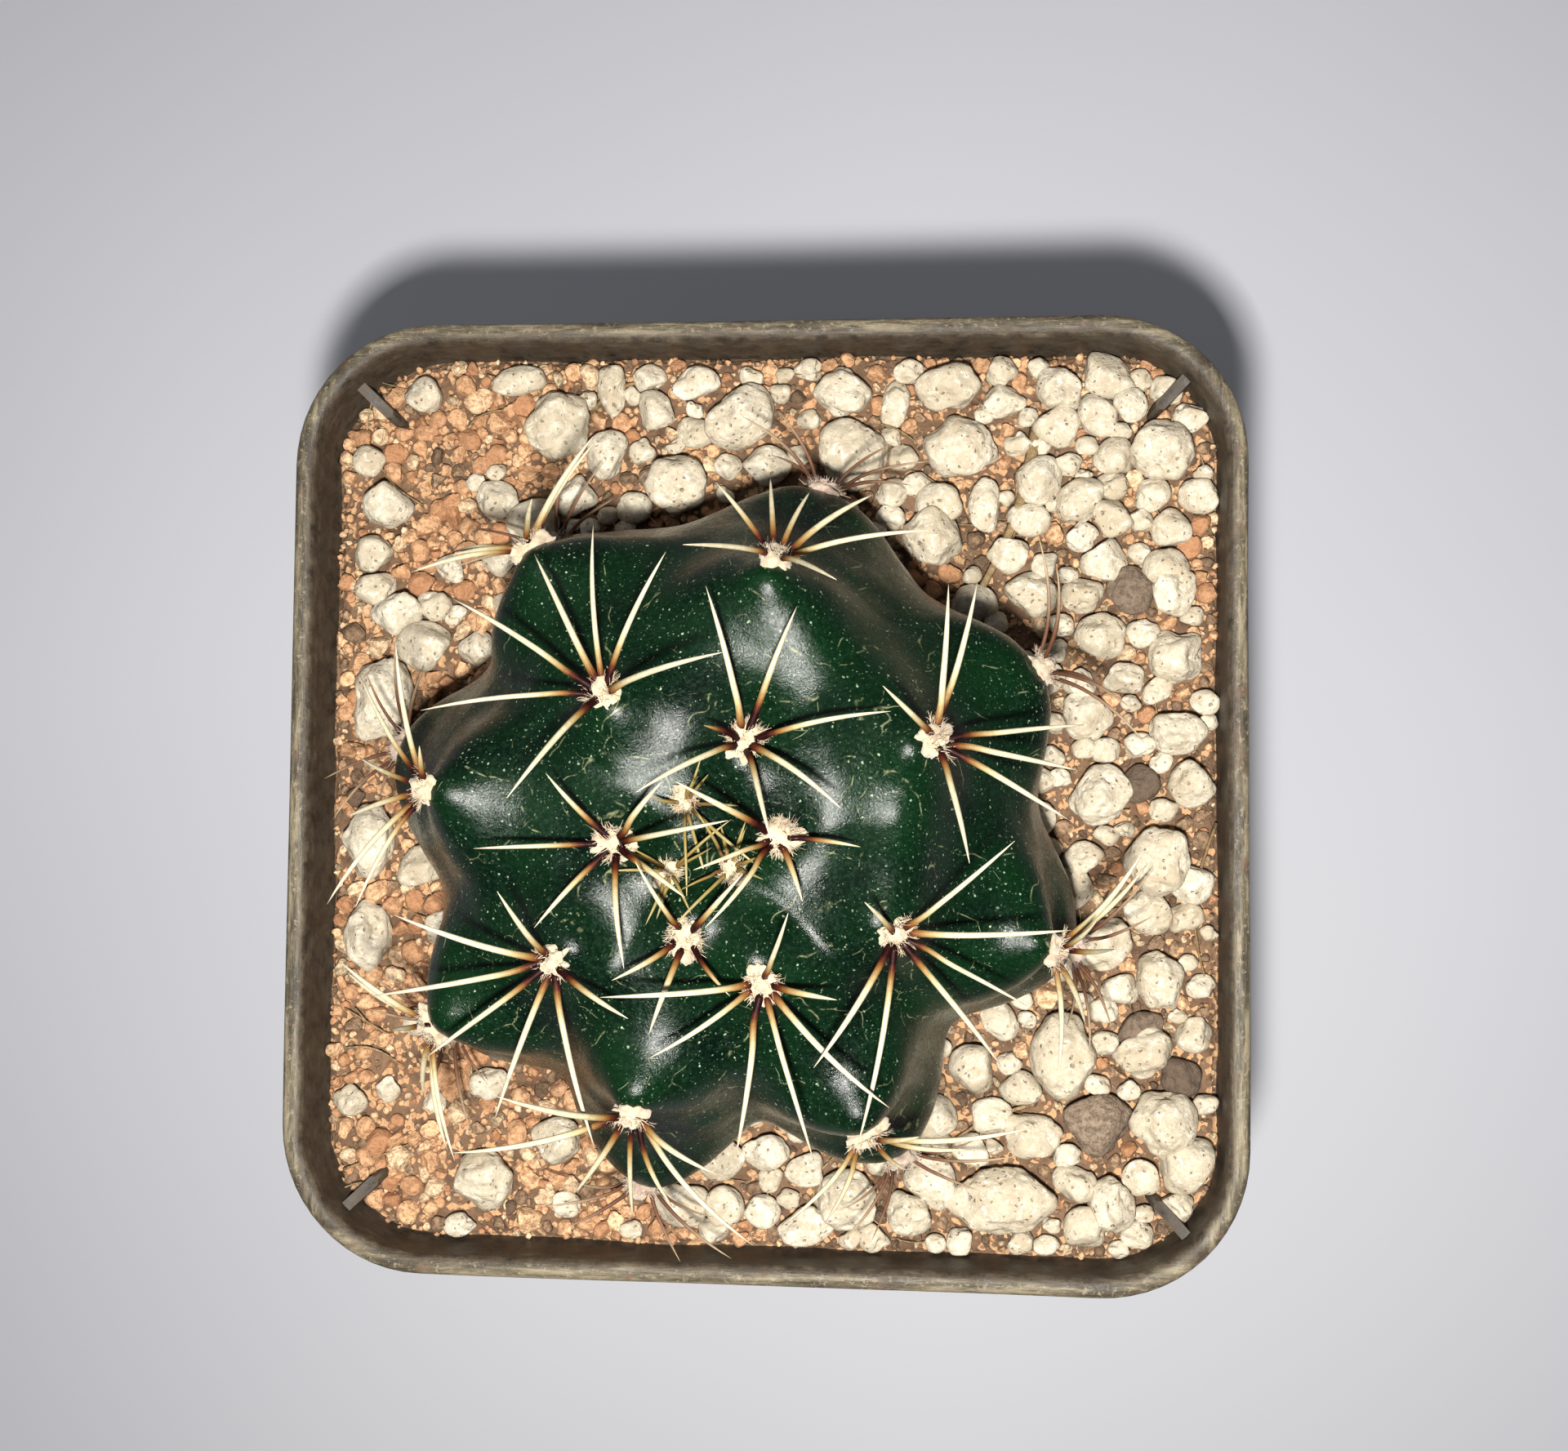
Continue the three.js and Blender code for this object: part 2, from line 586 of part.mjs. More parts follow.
// A rounded, dented stone. Clearance grows it on every side, for the socket that it lies in.
function stoneSolid([across, back, width, depth, height, turn], index, clearance = 0) {
  const bare = new THREE.DodecahedronGeometry(0.5, 0);
  bare.deleteAttribute("normal");
  bare.deleteAttribute("uv");
  const stone = mergeVertices(bare, 1e-3);
  const position = stone.getAttribute("position");
  for (let i = 0; i < position.count; i++) {
    const v = new THREE.Vector3().fromBufferAttribute(position, i);
    const dent = 1 - 2 * STONE_ROUGHNESS * random(index * 31 + i + 1);
    v.multiplyScalar(dent / (1 - STONE_ROUGHNESS));
    position.setXYZ(i, v.x, v.y, v.z);
  }
  const grown = (size) => size + 2 * clearance;
  stone.scale(grown(width), grown(depth), grown(height));
  stone.rotateZ(radians(turn));
  const reach = insideAt(MIX_TOP).half - GAP;
  return stone.translate(across * reach, back * reach, MIX_TOP + height * (0.5 - STONE_SINK));
}
STONES.forEach((stone, i) =>
  addNode(`pumice_${String(i + 1).padStart(2, "0")}`, stoneSolid(stone, i), MATERIALS.stone),
);

// ---------------------------------------------------------------- growing mix
const SOCKET_GAP = GAP + 0.15; // socket walls follow the stones a little further off

function buildMix() {
  const bends = INSIDE_LEVELS.map((level) => level.z).filter((z) => z > FLOOR_TOP && z < MIX_TOP);
  const levels = [FLOOR_TOP + GAP, ...bends, MIX_TOP];
  const rings = levels.map((z) => roundedSquare(inset(insideAt(z), GAP), z));
  const block = skinRings(onPotAxis(levels[0]), rings.map(reversed), onPotAxis(MIX_TOP));
  let mix = solidOf(block).subtract(solidOf(bodySurface(GAP)));
  for (let quarter = 0; quarter < 4; quarter++) mix = mix.subtract(cornerRib(quarter, GAP));
  STONES.forEach((stone, i) => {
    mix = mix.subtract(solidOf(stoneSolid(stone, i, SOCKET_GAP)));
  });
  return mix;
}
addNode("growing_mix", geometryOf(buildMix()), MATERIALS.mix);

export default part;
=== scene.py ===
"""The looks of the small potted cactus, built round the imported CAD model.

Shapes are worked out in millimetres in the CAD frame: +Z is up, +Y is the back, and the origin
is at the middle of the pot on the surface that it stands on. Shape.piece() turns them to metres.
"""

import math

import bmesh
import bpy
import numpy as np
from mathutils import Matrix, Vector
from mathutils.bvhtree import BVHTree


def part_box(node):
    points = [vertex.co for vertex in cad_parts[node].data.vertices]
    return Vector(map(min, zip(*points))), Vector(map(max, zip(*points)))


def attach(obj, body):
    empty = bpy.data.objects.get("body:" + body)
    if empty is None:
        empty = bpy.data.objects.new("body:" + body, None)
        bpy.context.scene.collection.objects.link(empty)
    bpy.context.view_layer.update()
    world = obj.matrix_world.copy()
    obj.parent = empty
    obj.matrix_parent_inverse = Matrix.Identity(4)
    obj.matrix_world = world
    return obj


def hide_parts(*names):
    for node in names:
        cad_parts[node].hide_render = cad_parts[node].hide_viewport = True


MM = 0.001
FULL_TURN = 2 * math.pi

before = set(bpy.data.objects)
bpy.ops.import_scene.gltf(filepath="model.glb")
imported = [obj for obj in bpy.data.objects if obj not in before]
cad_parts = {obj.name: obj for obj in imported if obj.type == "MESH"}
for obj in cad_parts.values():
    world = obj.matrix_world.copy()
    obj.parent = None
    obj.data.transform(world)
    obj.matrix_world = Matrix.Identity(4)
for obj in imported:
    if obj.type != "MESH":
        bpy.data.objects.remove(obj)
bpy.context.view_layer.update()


# ---------------------------------------------------------------- numbers and vectors
def unit(vectors):
    """The vectors along the last axis at length 1."""
    length = np.linalg.norm(vectors, axis=-1, keepdims=True)
    return vectors / np.maximum(length, 1e-9)


def smoothstep(values, low, high):
    share = np.clip((values - low) / (high - low), 0, 1)
    return share * share * (3 - 2 * share)


def lattice_value(cells, seed):
    """A repeatable number from -1 to 1 for each whole-number cell."""
    mixed = cells[..., 0] * 73856093 ^ cells[..., 1] * 19349663 ^ cells[..., 2] * 83492791
    mixed = (mixed ^ seed * 2654435761) & 0xFFFFFFFF
    for shift, factor in ((16, 0x45D9F3B), (15, 0x2C1B3C6D)):
        mixed = ((mixed ^ mixed >> shift) * factor) & 0xFFFFFFFF
    return ((mixed ^ mixed >> 16) & 0xFFFF) / 32767.5 - 1


def soft_noise(points, size, seed=0):
    """Smooth noise from -1 to 1, with lumps of about the given size."""
    scaled = points / size
    cell = np.floor(scaled).astype(np.int64)
    share = scaled - cell
    share = share * share * (3 - 2 * share)
    total = np.zeros(points.shape[:-1])
    for corner in np.ndindex(2, 2, 2):
        weight = np.prod(np.where(corner, share, 1 - share), axis=-1)
        total += weight * lattice_value(cell + np.array(corner), seed)
    return total


def layered_noise(points, size, seed=0, layers=3):
    """soft_noise with finer and fainter layers added."""
    return sum(soft_noise(points, size / 2**n, seed + n) / 2**n for n in range(layers))


# ---------------------------------------------------------------- shapes and pieces
class Shape:
    """The points, faces and point values of one piece, collected bit by bit."""

    def __init__(self):
        self.points, self.faces, self.materials, self.values = [], [], [], {}
        self.count = 0

    def add(self, points, *face_sets, material=0, **values):
        """Adds points [n, 3], faces as index arrays, and a value for each point by name."""
        points = np.asarray(points, float).reshape(-1, 3)
        for faces in face_sets:
            self.faces.append(np.asarray(faces) + self.count)
            self.materials.append(np.full(len(faces), material))
        for name, value in values.items():
            self.values.setdefault(name, []).append(np.broadcast_to(value, len(points)))
        self.points.append(points)
        self.count += len(points)

    def mesh(self, name):
        corners = np.concatenate([faces.ravel() for faces in self.faces])
        sizes = np.concatenate([np.full(len(f), f.shape[1]) for f in self.faces])
        mesh = bpy.data.meshes.new(name)
        mesh.vertices.add(self.count)
        mesh.vertices.foreach_set("co", (np.concatenate(self.points) * MM).ravel())
        mesh.loops.add(len(corners))
        mesh.loops.foreach_set("vertex_index", corners)
        mesh.polygons.add(len(sizes))
        mesh.polygons.foreach_set("loop_start", np.cumsum(sizes) - sizes)
        mesh.polygons.foreach_set("material_index", np.concatenate(self.materials))
        mesh.polygons.foreach_set("use_smooth", np.ones(len(sizes), bool))
        for key, parts in self.values.items():
            values = np.concatenate(parts).astype(np.float32)
            mesh.attributes.new(key, "FLOAT", "POINT").data.foreach_set("value", values)
        mesh.update(calc_edges=True)
        mesh.validate()
        return mesh

    def piece(self, name, materials, slot, replaces=()):
        """Makes the object, which rides on the part's one body."""
        made = bpy.data.objects.new(name, self.mesh(name))
        bpy.context.scene.collection.objects.link(made)
        for material in materials:
            made.data.materials.append(material)
        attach(made, "root")
        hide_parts(*replaces)
        return made


def welded(node):
    """A CAD node's points in millimetres and its triangles, with doubled points joined."""
    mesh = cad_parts[node].data
    points = np.empty(len(mesh.vertices) * 3, np.float32)
    mesh.vertices.foreach_get("co", points)
    mesh.calc_loop_triangles()
    triangles = np.empty(len(mesh.loop_triangles) * 3, np.int32)
    mesh.loop_triangles.foreach_get("vertices", triangles)
    rounded = np.round(points.reshape(-1, 3) / MM, 3)
    joined, place = np.unique(rounded, axis=0, return_inverse=True)
    return joined, place.ravel()[triangles].reshape(-1, 3)


def tree_of(points, faces):
    """A search tree of a surface."""
    return BVHTree.FromPolygons([tuple(p) for p in points], [tuple(f) for f in faces])


def ring_faces(rings, count):
    """Quads between rings of points, each ring's points listed one after another."""
    r, i = np.meshgrid(np.arange(rings - 1), np.arange(count), indexing="ij")
    r, i, after = r.ravel(), i.ravel(), (i.ravel() + 1) % count
    return np.stack([r * count + i, r * count + after, (r + 1) * count + after, (r + 1) * count + i], 1)


def tubes(paths, radii, sides):
    """Closed tubes along paths [tube, step, 3] with radii [tube, step]: points, quads, end caps."""
    count, steps = paths.shape[:2]
    ahead = unit(np.gradient(paths, axis=1))
    upright = np.abs(ahead[:, :1, 2:]) > 0.9
    guide = np.where(upright, np.array([1.0, 0, 0]), np.array([0, 0, 1.0]))
    side = unit(np.cross(guide, ahead))
    over = np.cross(ahead, side)
    turn = np.arange(sides) / sides * FULL_TURN
    around = np.cos(turn)[:, None] * side[:, :, None] + np.sin(turn)[:, None] * over[:, :, None]
    points = paths[:, :, None] + radii[:, :, None, None] * around
    first = (np.arange(count) * steps * sides)[:, None, None]
    quads = (ring_faces(steps, sides)[None] + first).reshape(-1, 4)
    start = np.arange(sides)[::-1]
    caps = np.stack([start, np.arange(sides) + (steps - 1) * sides])
    return points, quads, (caps[None] + first).reshape(-1, sides)


def ball(level):
    """A unit sphere of triangles as directions and faces, finer with each level."""
    bm = bmesh.new()
    bmesh.ops.create_icosphere(bm, subdivisions=level, radius=1)
    directions = np.array([v.co for v in bm.verts])
    faces = np.array([[v.index for v in f.verts] for f in bm.faces])
    bm.free()
    return unit(directions), faces


BALLS = {level: ball(level) for level in (2, 3, 4, 5)}


def blurred(values, faces, rounds):
    """Each value evened out with its neighbours' on the surface, a number of times over."""
    a, b = faces.ravel(), np.roll(faces, 1, axis=1).ravel()
    share = np.bincount(a, minlength=len(values)).astype(float)
    for _ in range(rounds):
        total = np.bincount(a, weights=values[b], minlength=len(values))
        values = (values + total / share) / 2
    return values


def random_directions(rng, count):
    return unit(rng.normal(size=(count, 3)))


# ---------------------------------------------------------------- material nodes
class Material:
    """A Principled material, with short calls for the nodes that feed it."""

    def __init__(self, name, **plain):
        self.material = bpy.data.materials.new(name)
        self.material.use_nodes = True
        self.nodes = self.material.node_tree.nodes
        self.shader = self.nodes["Principled BSDF"]
        self.place = self.node("ShaderNodeTexCoord").outputs["Object"]
        self.set(**plain)

    def set(self, **sockets):
        """Sets or links the shader's sockets, named with _ for a space."""
        for name, value in sockets.items():
            self.join(value, self.shader.inputs[name.replace("_", " ")])

    def join(self, value, socket):
        if isinstance(value, bpy.types.NodeSocket):
            self.material.node_tree.links.new(value, socket)
        else:
            socket.default_value = value

    def node(self, kind, inputs=(), **settings):
        made = self.nodes.new(kind)
        for key, value in settings.items():
            setattr(made, key, value)
        for key, value in dict(inputs).items():
            self.join(value, made.inputs[key])
        return made

    def value(self, name):
        """A point value of the mesh."""
        return self.node("ShaderNodeAttribute", attribute_name=name).outputs["Fac"]

    def noise(self, size, detail=3.0, roughness=0.55, stretch=None, distortion=0.0):
        """Noise from 0 to 1 with lumps of a size in millimetres."""
        inputs = {
            "Vector": self.stretched(stretch),
            "Scale": 1 / (size * MM),
            "Detail": detail,
            "Roughness": roughness,
            "Distortion": distortion,
        }
        return self.node("ShaderNodeTexNoise", inputs).outputs["Fac"]

    def cells(self, size, feature="F1", output="Distance", vector=None):
        """A Voronoi pattern with cells of a size in millimetres."""
        inputs = {"Vector": vector or self.place, "Scale": 1 / (size * MM)}
        return self.node("ShaderNodeTexVoronoi", inputs, feature=feature).outputs[output]

    def stretched(self, stretch):
        if stretch is None:
            return self.place
        scale = tuple(1 / s for s in stretch)
        return self.node("ShaderNodeMapping", {"Vector": self.place, "Scale": scale}).outputs[0]

    def bent(self, size, amount):
        """The object's coordinates, pushed about by noise. Size and amount are in millimetres."""
        inputs = {"Vector": self.place, "Scale": 1 / (size * MM), "Detail": 2.0}
        wobble = self.node("ShaderNodeTexNoise", inputs).outputs["Color"]
        centred = self.node(
            "ShaderNodeVectorMath", {0: wobble, 1: (0.5, 0.5, 0.5)}, operation="SUBTRACT"
        ).outputs[0]
        scaled = self.node("ShaderNodeVectorMath", {0: centred}, operation="SCALE")
        scaled.inputs["Scale"].default_value = amount * MM
        summed = {0: self.place, 1: scaled.outputs[0]}
        return self.node("ShaderNodeVectorMath", summed, operation="ADD").outputs[0]

    def ramp(self, value, *stops):
        """A colour or a number for each value. A stop is (place, colour or number)."""
        made = self.node("ShaderNodeValToRGB", {"Fac": value})
        points = made.color_ramp.elements
        while len(points) < len(stops):
            points.new(1.0)
        for point, (place, colour) in zip(points, stops):
            point.position = place
            point.color = (*colour, 1) if isinstance(colour, tuple) else (colour,) * 3 + (1,)
        return made.outputs["Color"]

    def math(self, operation, a, b=0.0, clamp=False):
        node = self.node("ShaderNodeMath", {0: a, 1: b}, operation=operation, use_clamp=clamp)
        return node.outputs[0]

    def mix(self, share, a, b, blend="MIX"):
        """Colour a turned to b by a share from 0 to 1."""
        made = self.node("ShaderNodeMix", data_type="RGBA", blend_type=blend)
        self.join(share, made.inputs["Factor"])
        for socket, colour in ((made.inputs[6], a), (made.inputs[7], b)):
            self.join((*colour, 1) if isinstance(colour, tuple) else colour, socket)
        return made.outputs[2]

    def bump(self, height, depth, strength=1.0):
        """Adds relief of a depth in millimetres to the shader's normal."""
        inputs = {"Height": height, "Distance": depth * MM, "Strength": strength}
        made = self.node("ShaderNodeBump", inputs)
        before = self.shader.inputs["Normal"].links
        if before:
            self.join(before[0].from_socket, made.inputs["Normal"])
        self.join(made.outputs["Normal"], self.shader.inputs["Normal"])


# ---------------------------------------------------------------- pot
POT_LOW, POT_HIGH = (np.array(corner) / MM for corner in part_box("pot"))
POT_HALF = POT_HIGH[0]
POT_TOP = POT_HIGH[2]
POT_CORNER = 10.5
BASE_HALF = 26.5
BASE_CORNER = 9
WALL = 1.1
FLOOR_TOP = 3.8
FOOT_HEIGHT = 2.6
FOOT_WIDTH = 1.8
FOOT_NOTCH_WIDTH = 9
FOOT_NOTCH_HEIGHT = 1.6
RIM_HEIGHT = 6.5
RIM_STEP = 1.0
RIM_THICKNESS = 1.5
RIM_BOTTOM = POT_TOP - RIM_HEIGHT
DRAIN_RADIUS = 4.5
OUTER_DRAIN_RADIUS = 3.75
OUTER_DRAIN_REACH = 21
CORNER_RIB_LENGTH = 4.2
CORNER_RIB_THICKNESS = 0.8
CORNER_RIB_HEIGHT = 24
CORNER_RIB_BELOW_RIM = 2.2
POT_WAVE = 0.3  # how far the thin walls wander
CORNER_STEPS = 14
SIDE_STEPS = 22


def rounded_square(half, corner, z=0.0):
    """Points round a horizontal rounded square, counter-clockwise from above."""
    turn = np.linspace(0, math.pi / 2, CORNER_STEPS + 1)
    arc = np.stack([half - corner + corner * np.cos(turn), half - corner + corner * np.sin(turn)], 1)
    share = np.linspace(0, 1, SIDE_STEPS + 1)[1:-1, None]
    end = np.array([-arc[0, 1], arc[0, 0]])
    side = arc[-1] * (1 - share) + end * share
    quarter = np.concatenate([arc, side])
    points = []
    for n in range(4):
        c, s = round(math.cos(n * math.pi / 2)), round(math.sin(n * math.pi / 2))
        points.append(quarter @ np.array([[c, s], [-s, c]]))
    flat = np.concatenate(points)
    return np.column_stack([flat, np.full(len(flat), z)])


def wall_at(z):
    """Half-width and corner radius of the wall's outside at a height."""
    share = z / RIM_BOTTOM
    half = BASE_HALF + (POT_HALF - RIM_STEP - BASE_HALF) * share
    return half, BASE_CORNER + (POT_CORNER - RIM_STEP - BASE_CORNER) * share


def inside_at(z):
    """Half-width and corner radius of the pot's inside at a height."""
    half, corner = wall_at(min(z, RIM_BOTTOM))
    step = min(max((z - RIM_BOTTOM) / WALL, 0), 1)
    half = (half - WALL) * (1 - step) + (POT_HALF - RIM_THICKNESS) * step
    return half, (corner - WALL) * (1 - step) + (POT_CORNER - RIM_THICKNESS) * step


def pot_profile():
    """Rings of the shell from the middle of its underside, up outside and down inside. Each is
    (half-width, corner radius, height)."""
    rings = []

    def wall(inset, z):
        half, corner = wall_at(z)
        rings.append((half - inset, corner - inset, z))

    def band(inset, z):
        rings.append((POT_HALF - inset, POT_CORNER - inset, z))

    for reach in (6, 12, 18):
        rings.append((reach, reach * 0.4, FOOT_HEIGHT))
    wall(FOOT_WIDTH + 0.3, FOOT_HEIGHT)
    wall(FOOT_WIDTH, FOOT_HEIGHT - 0.3)
    wall(FOOT_WIDTH, 0.3)
    wall(FOOT_WIDTH - 0.3, 0)
    wall(0.4, 0)
    wall(0.12, 0.12)
    for z in np.linspace(0.4, RIM_BOTTOM - 0.35, 26):
        wall(0, z)
    wall(-0.1, RIM_BOTTOM - 0.1)
    band(0.35, RIM_BOTTOM)
    band(0.1, RIM_BOTTOM + 0.1)
    band(0, RIM_BOTTOM + 0.35)
    for z in np.linspace(RIM_BOTTOM + 1.2, POT_TOP - 1.1, 5):
        band(0.12, z)
    for turn in np.linspace(0, math.pi, 11):
        middle = RIM_THICKNESS / 2
        band(middle - middle * math.cos(turn), POT_TOP - 0.6 + 0.6 * math.sin(turn))
    band(RIM_THICKNESS + 0.03, POT_TOP - 1.6)
    for z in np.linspace(POT_TOP - 3.4, FLOOR_TOP + 0.6, 26):
        half, corner = inside_at(z)
        eased = 0.08 if z > RIM_BOTTOM + 1 else 0
        rings.append((half - eased, corner - eased, z))
    half, corner = inside_at(FLOOR_TOP)
    rings.append((half - 0.6, corner - 0.6, FLOOR_TOP))
    for reach in (18, 12, 6):
        rings.append((reach, reach * 0.4, FLOOR_TOP))
    return rings


def wandered(points):
    """Pot points moved a little in or out, as thin moulded walls are. The box stays the same."""
    level = smoothstep(points[:, 2], 6, POT_TOP)
    inward = -np.sign(points[:, :2]) * (np.abs(points[:, :2]) > POT_HALF * 0.55)
    amount = POT_WAVE * level * (0.5 + 0.5 * soft_noise(points * [1, 1, 0.35], 17, 5))
    moved = points.copy()
    moved[:, :2] += inward * amount[:, None]
    return moved


def inside_share(points):
    """1 on the pot's inside surfaces and on its stacking ribs, and 0 outside."""
    z = points[:, 2]
    step = RIM_STEP * (z > RIM_BOTTOM + 0.5)
    half, corner = (size + step for size in wall_at(np.clip(z, 0, RIM_BOTTOM)))
    past = np.maximum(np.abs(points[:, :2]) - (half - corner)[:, None], 0)
    depth = (corner - np.hypot(past[:, 0], past[:, 1])) / np.where(step > 0, RIM_THICKNESS, WALL)
    off_diagonal = np.abs(np.abs(points[:, 0]) - np.abs(points[:, 1])) / math.sqrt(2)
    # The stacking ribs get the full share, so the pot's dark soil colour covers them all over: painted
    # shade that darkens their lit tops.
    on_rib = (off_diagonal < CORNER_RIB_THICKNESS / 2 + 0.1) & (depth > 0.3)
    return np.where(on_rib, 1, smoothstep(depth, 0.6, 0.98)) * (z > FOOT_HEIGHT + 0.6)


def cutters():
    """The drain holes and the notches under the foot, as one cutting mesh."""
    bm = bmesh.new()
    reach = OUTER_DRAIN_REACH * math.sqrt(0.5)
    places = [(DRAIN_RADIUS, 0, 0)]
    places += [(OUTER_DRAIN_RADIUS, x, y) for x in (-reach, reach) for y in (-reach, reach)]
    for radius, x, y in places:
        bmesh.ops.create_cone(
            bm,
            cap_ends=True,
            segments=48,
            radius1=radius * MM,
            radius2=radius * MM,
            depth=8 * MM,
            matrix=Matrix.Translation(Vector((x, y, 4.2)) * MM),
        )
    for turn in range(4):
        spin = Matrix.Rotation(turn * math.pi / 2, 4, "Z")
        place = Matrix.Translation(Vector((BASE_HALF - 1, 0, 0)) * MM)
        size = Matrix.Diagonal((6 * MM, FOOT_NOTCH_WIDTH * MM, FOOT_NOTCH_HEIGHT * 2 * MM, 1))
        bmesh.ops.create_cube(bm, size=1, matrix=spin @ place @ size)
    mesh = bpy.data.meshes.new("cutters")
    bm.to_mesh(mesh)
    bm.free()
    return mesh


def corner_ribs():
    """The four stacking ribs inside the corners, with their outer ends in the wall."""
    top = POT_TOP - CORNER_RIB_BELOW_RIM
    bottom = top - CORNER_RIB_HEIGHT
    shape = Shape()
    for quarter in range(4):
        a = math.pi / 4 + quarter * math.pi / 2
        along = np.array([math.cos(a), math.sin(a), 0])
        side = np.array([-math.sin(a), math.cos(a), 0])
        levels = [(bottom, 1.0), (bottom + 3, 0.0), (RIM_BOTTOM, 0.0), (top - 2.0, 0.0), (top, 0.5)]
        rings = []
        for z, short in levels:
            half, corner = inside_at(z)
            outer = (half - corner) * math.sqrt(2) + corner + WALL / 2
            inner = outer - CORNER_RIB_LENGTH + short
            thick = CORNER_RIB_THICKNESS / 2
            for reach, aside in (
                (outer, -thick),
                (outer, thick),
                (inner + 0.25, thick),
                (inner, thick - 0.25),
                (inner, 0.25 - thick),
                (inner + 0.25, -thick),
            ):
                sunk = 1.3 if z == top and reach < outer else 0
                rings.append(along * reach + side * aside + np.array([0, 0, z - sunk]))
        sides = 6
        steps = len(levels)
        caps = np.stack([np.arange(sides)[::-1], np.arange(sides) + (steps - 1) * sides])
        shape.add(rings, ring_faces(steps, sides), caps)
    return shape.mesh("corner_ribs")


def build_pot(material):
    rings = pot_profile()
    points = np.concatenate([rounded_square(*ring) for ring in rings])
    count = len(points) // len(rings)
    shape = Shape()
    ends = [np.arange(count)[::-1][None], (np.arange(count) + (len(rings) - 1) * count)[None]]
    shape.add(wandered(points), ring_faces(len(rings), count), *ends)
    pot = shape.piece("nursery_pot", [material], "pot_plastic", ["pot"])
    for operation, mesh in (("UNION", corner_ribs()), ("DIFFERENCE", cutters())):
        tool = bpy.data.objects.new("tool", mesh)
        bpy.context.scene.collection.objects.link(tool)
        modifier = pot.modifiers.new(operation, "BOOLEAN")
        modifier.operation = operation
        modifier.object = tool
        modifier.solver = "EXACT"
        finished = bpy.data.meshes.new_from_object(
            pot.evaluated_get(bpy.context.evaluated_depsgraph_get())
        )
        pot.modifiers.clear()
        finished.materials.clear()
        finished.materials.append(material)
        finished.polygons.foreach_set("material_index", np.zeros(len(finished.polygons), np.int32))
        pot.data = finished
        bpy.data.objects.remove(tool)
    pot.data.set_sharp_from_angle(angle=math.radians(38))
    points = np.array([v.co for v in pot.data.vertices]) / MM
    side = smoothstep(np.abs(points[:, 0]) - np.abs(points[:, 1]), -3, 3)
    worn = 0.12 + 0.88 * smoothstep(points[:, 2], POT_TOP - 3, POT_TOP - 0.9)
    for name, values in (("inside", inside_share(points)), ("side", side), ("worn", worn)):
        attribute = pot.data.attributes.new(name, "FLOAT", "POINT")
        attribute.data.foreach_set("value", values.astype(np.float32))


def pot_material():
    m = Material("pot_plastic", Specular_IOR_Level=0.28)
    worn = m.value("worn")
    broad = m.noise(3.5, 5, 0.65)
    fine = m.noise(0.4, 3, 0.7)
    plain = m.ramp(m.noise(14, 4, 0.6), (0.3, (0.056, 0.048, 0.034)), (0.7, (0.074, 0.063, 0.044)))
    base = m.ramp(broad, (0.34, (0.050, 0.041, 0.028)), (0.66, (0.135, 0.112, 0.072)))
    base = m.mix(worn, plain, base)
    front_back = m.noise(0.7, 4, 0.75, stretch=(8, 1, 1))
    left_right = m.noise(0.7, 4, 0.75, stretch=(1, 8, 1))
    streaks = m.mix(m.value("side"), front_back, left_right)
    light = m.math("MULTIPLY", m.ramp(streaks, (0.5, 0.0), (0.62, 0.75)), worn)
    base = m.mix(light, base, (0.25, 0.21, 0.14))
    dark = m.math("MULTIPLY", m.ramp(streaks, (0.38, 0.8), (0.48, 0.0)), worn)
    base = m.mix(dark, base, (0.032, 0.027, 0.020))
    grains = m.math("MULTIPLY", m.ramp(fine, (0.56, 0.0), (0.68, 0.7)), worn)
    base = m.mix(grains, base, (0.28, 0.24, 0.165))
    rust = m.math("MULTIPLY", m.ramp(m.noise(1.4, 3, 0.7), (0.58, 0.0), (0.68, 0.6)), worn)
    base = m.mix(rust, base, (0.13, 0.075, 0.05))
    # Dark soil patches: dirt on the inside walls, and painted shade on the stacking ribs.
    patches = m.ramp(m.noise(1.6, 4, 0.7), (0.35, 0.6), (0.55, 1.0))
    dirt_and_rib_shade = m.math("MULTIPLY", m.value("inside"), patches, clamp=True)
    dirt_and_shade_colour = m.ramp(m.noise(1.2, 4, 0.7), (0.35, (0.022, 0.016, 0.011)), (0.7, (0.072, 0.053, 0.036)))
    base = m.mix(dirt_and_rib_shade, base, dirt_and_shade_colour)
    m.set(Base_Color=base)
    m.set(Roughness=m.ramp(m.noise(1.2, 4, 0.7), (0.3, 0.42), (0.7, 0.72)))
    m.bump(m.math("MULTIPLY", streaks, worn), 0.14, 0.7)
    m.bump(m.math("MULTIPLY", m.noise(1.5, 4, 0.7), worn), 0.16, 0.5)
    m.bump(fine, 0.035, 0.7)
    return m.material


# ---------------------------------------------------------------- cactus body
BODY_X = -1
BODY_Y = -2.6
RING_POINTS = 64  # of the CAD body
FINER = 8
SHELF_HEIGHTS = {"1": 0.55, "2": 1.0}  # above the first and second areole of each rib
SHELF_LEAD = 1.7
SHELF_WIDTH = 1.7


def spline_rows(rows, finer):
    """A smooth curve near the rows, which come with one more row at each end."""
    before, here, after, beyond = rows[:-3], rows[1:-2], rows[2:-1], rows[3:]
    made = []
    for t in np.arange(finer) / finer:
        made.append(
            (
                before * (1 - t) ** 3
                + here * (3 * t**3 - 6 * t**2 + 4)
                + after * (-3 * t**3 + 3 * t**2 + 3 * t + 1)
                + beyond * t**3
            )
            / 6
        )
    return np.stack(made, 1).reshape(-1, *rows.shape[1:])


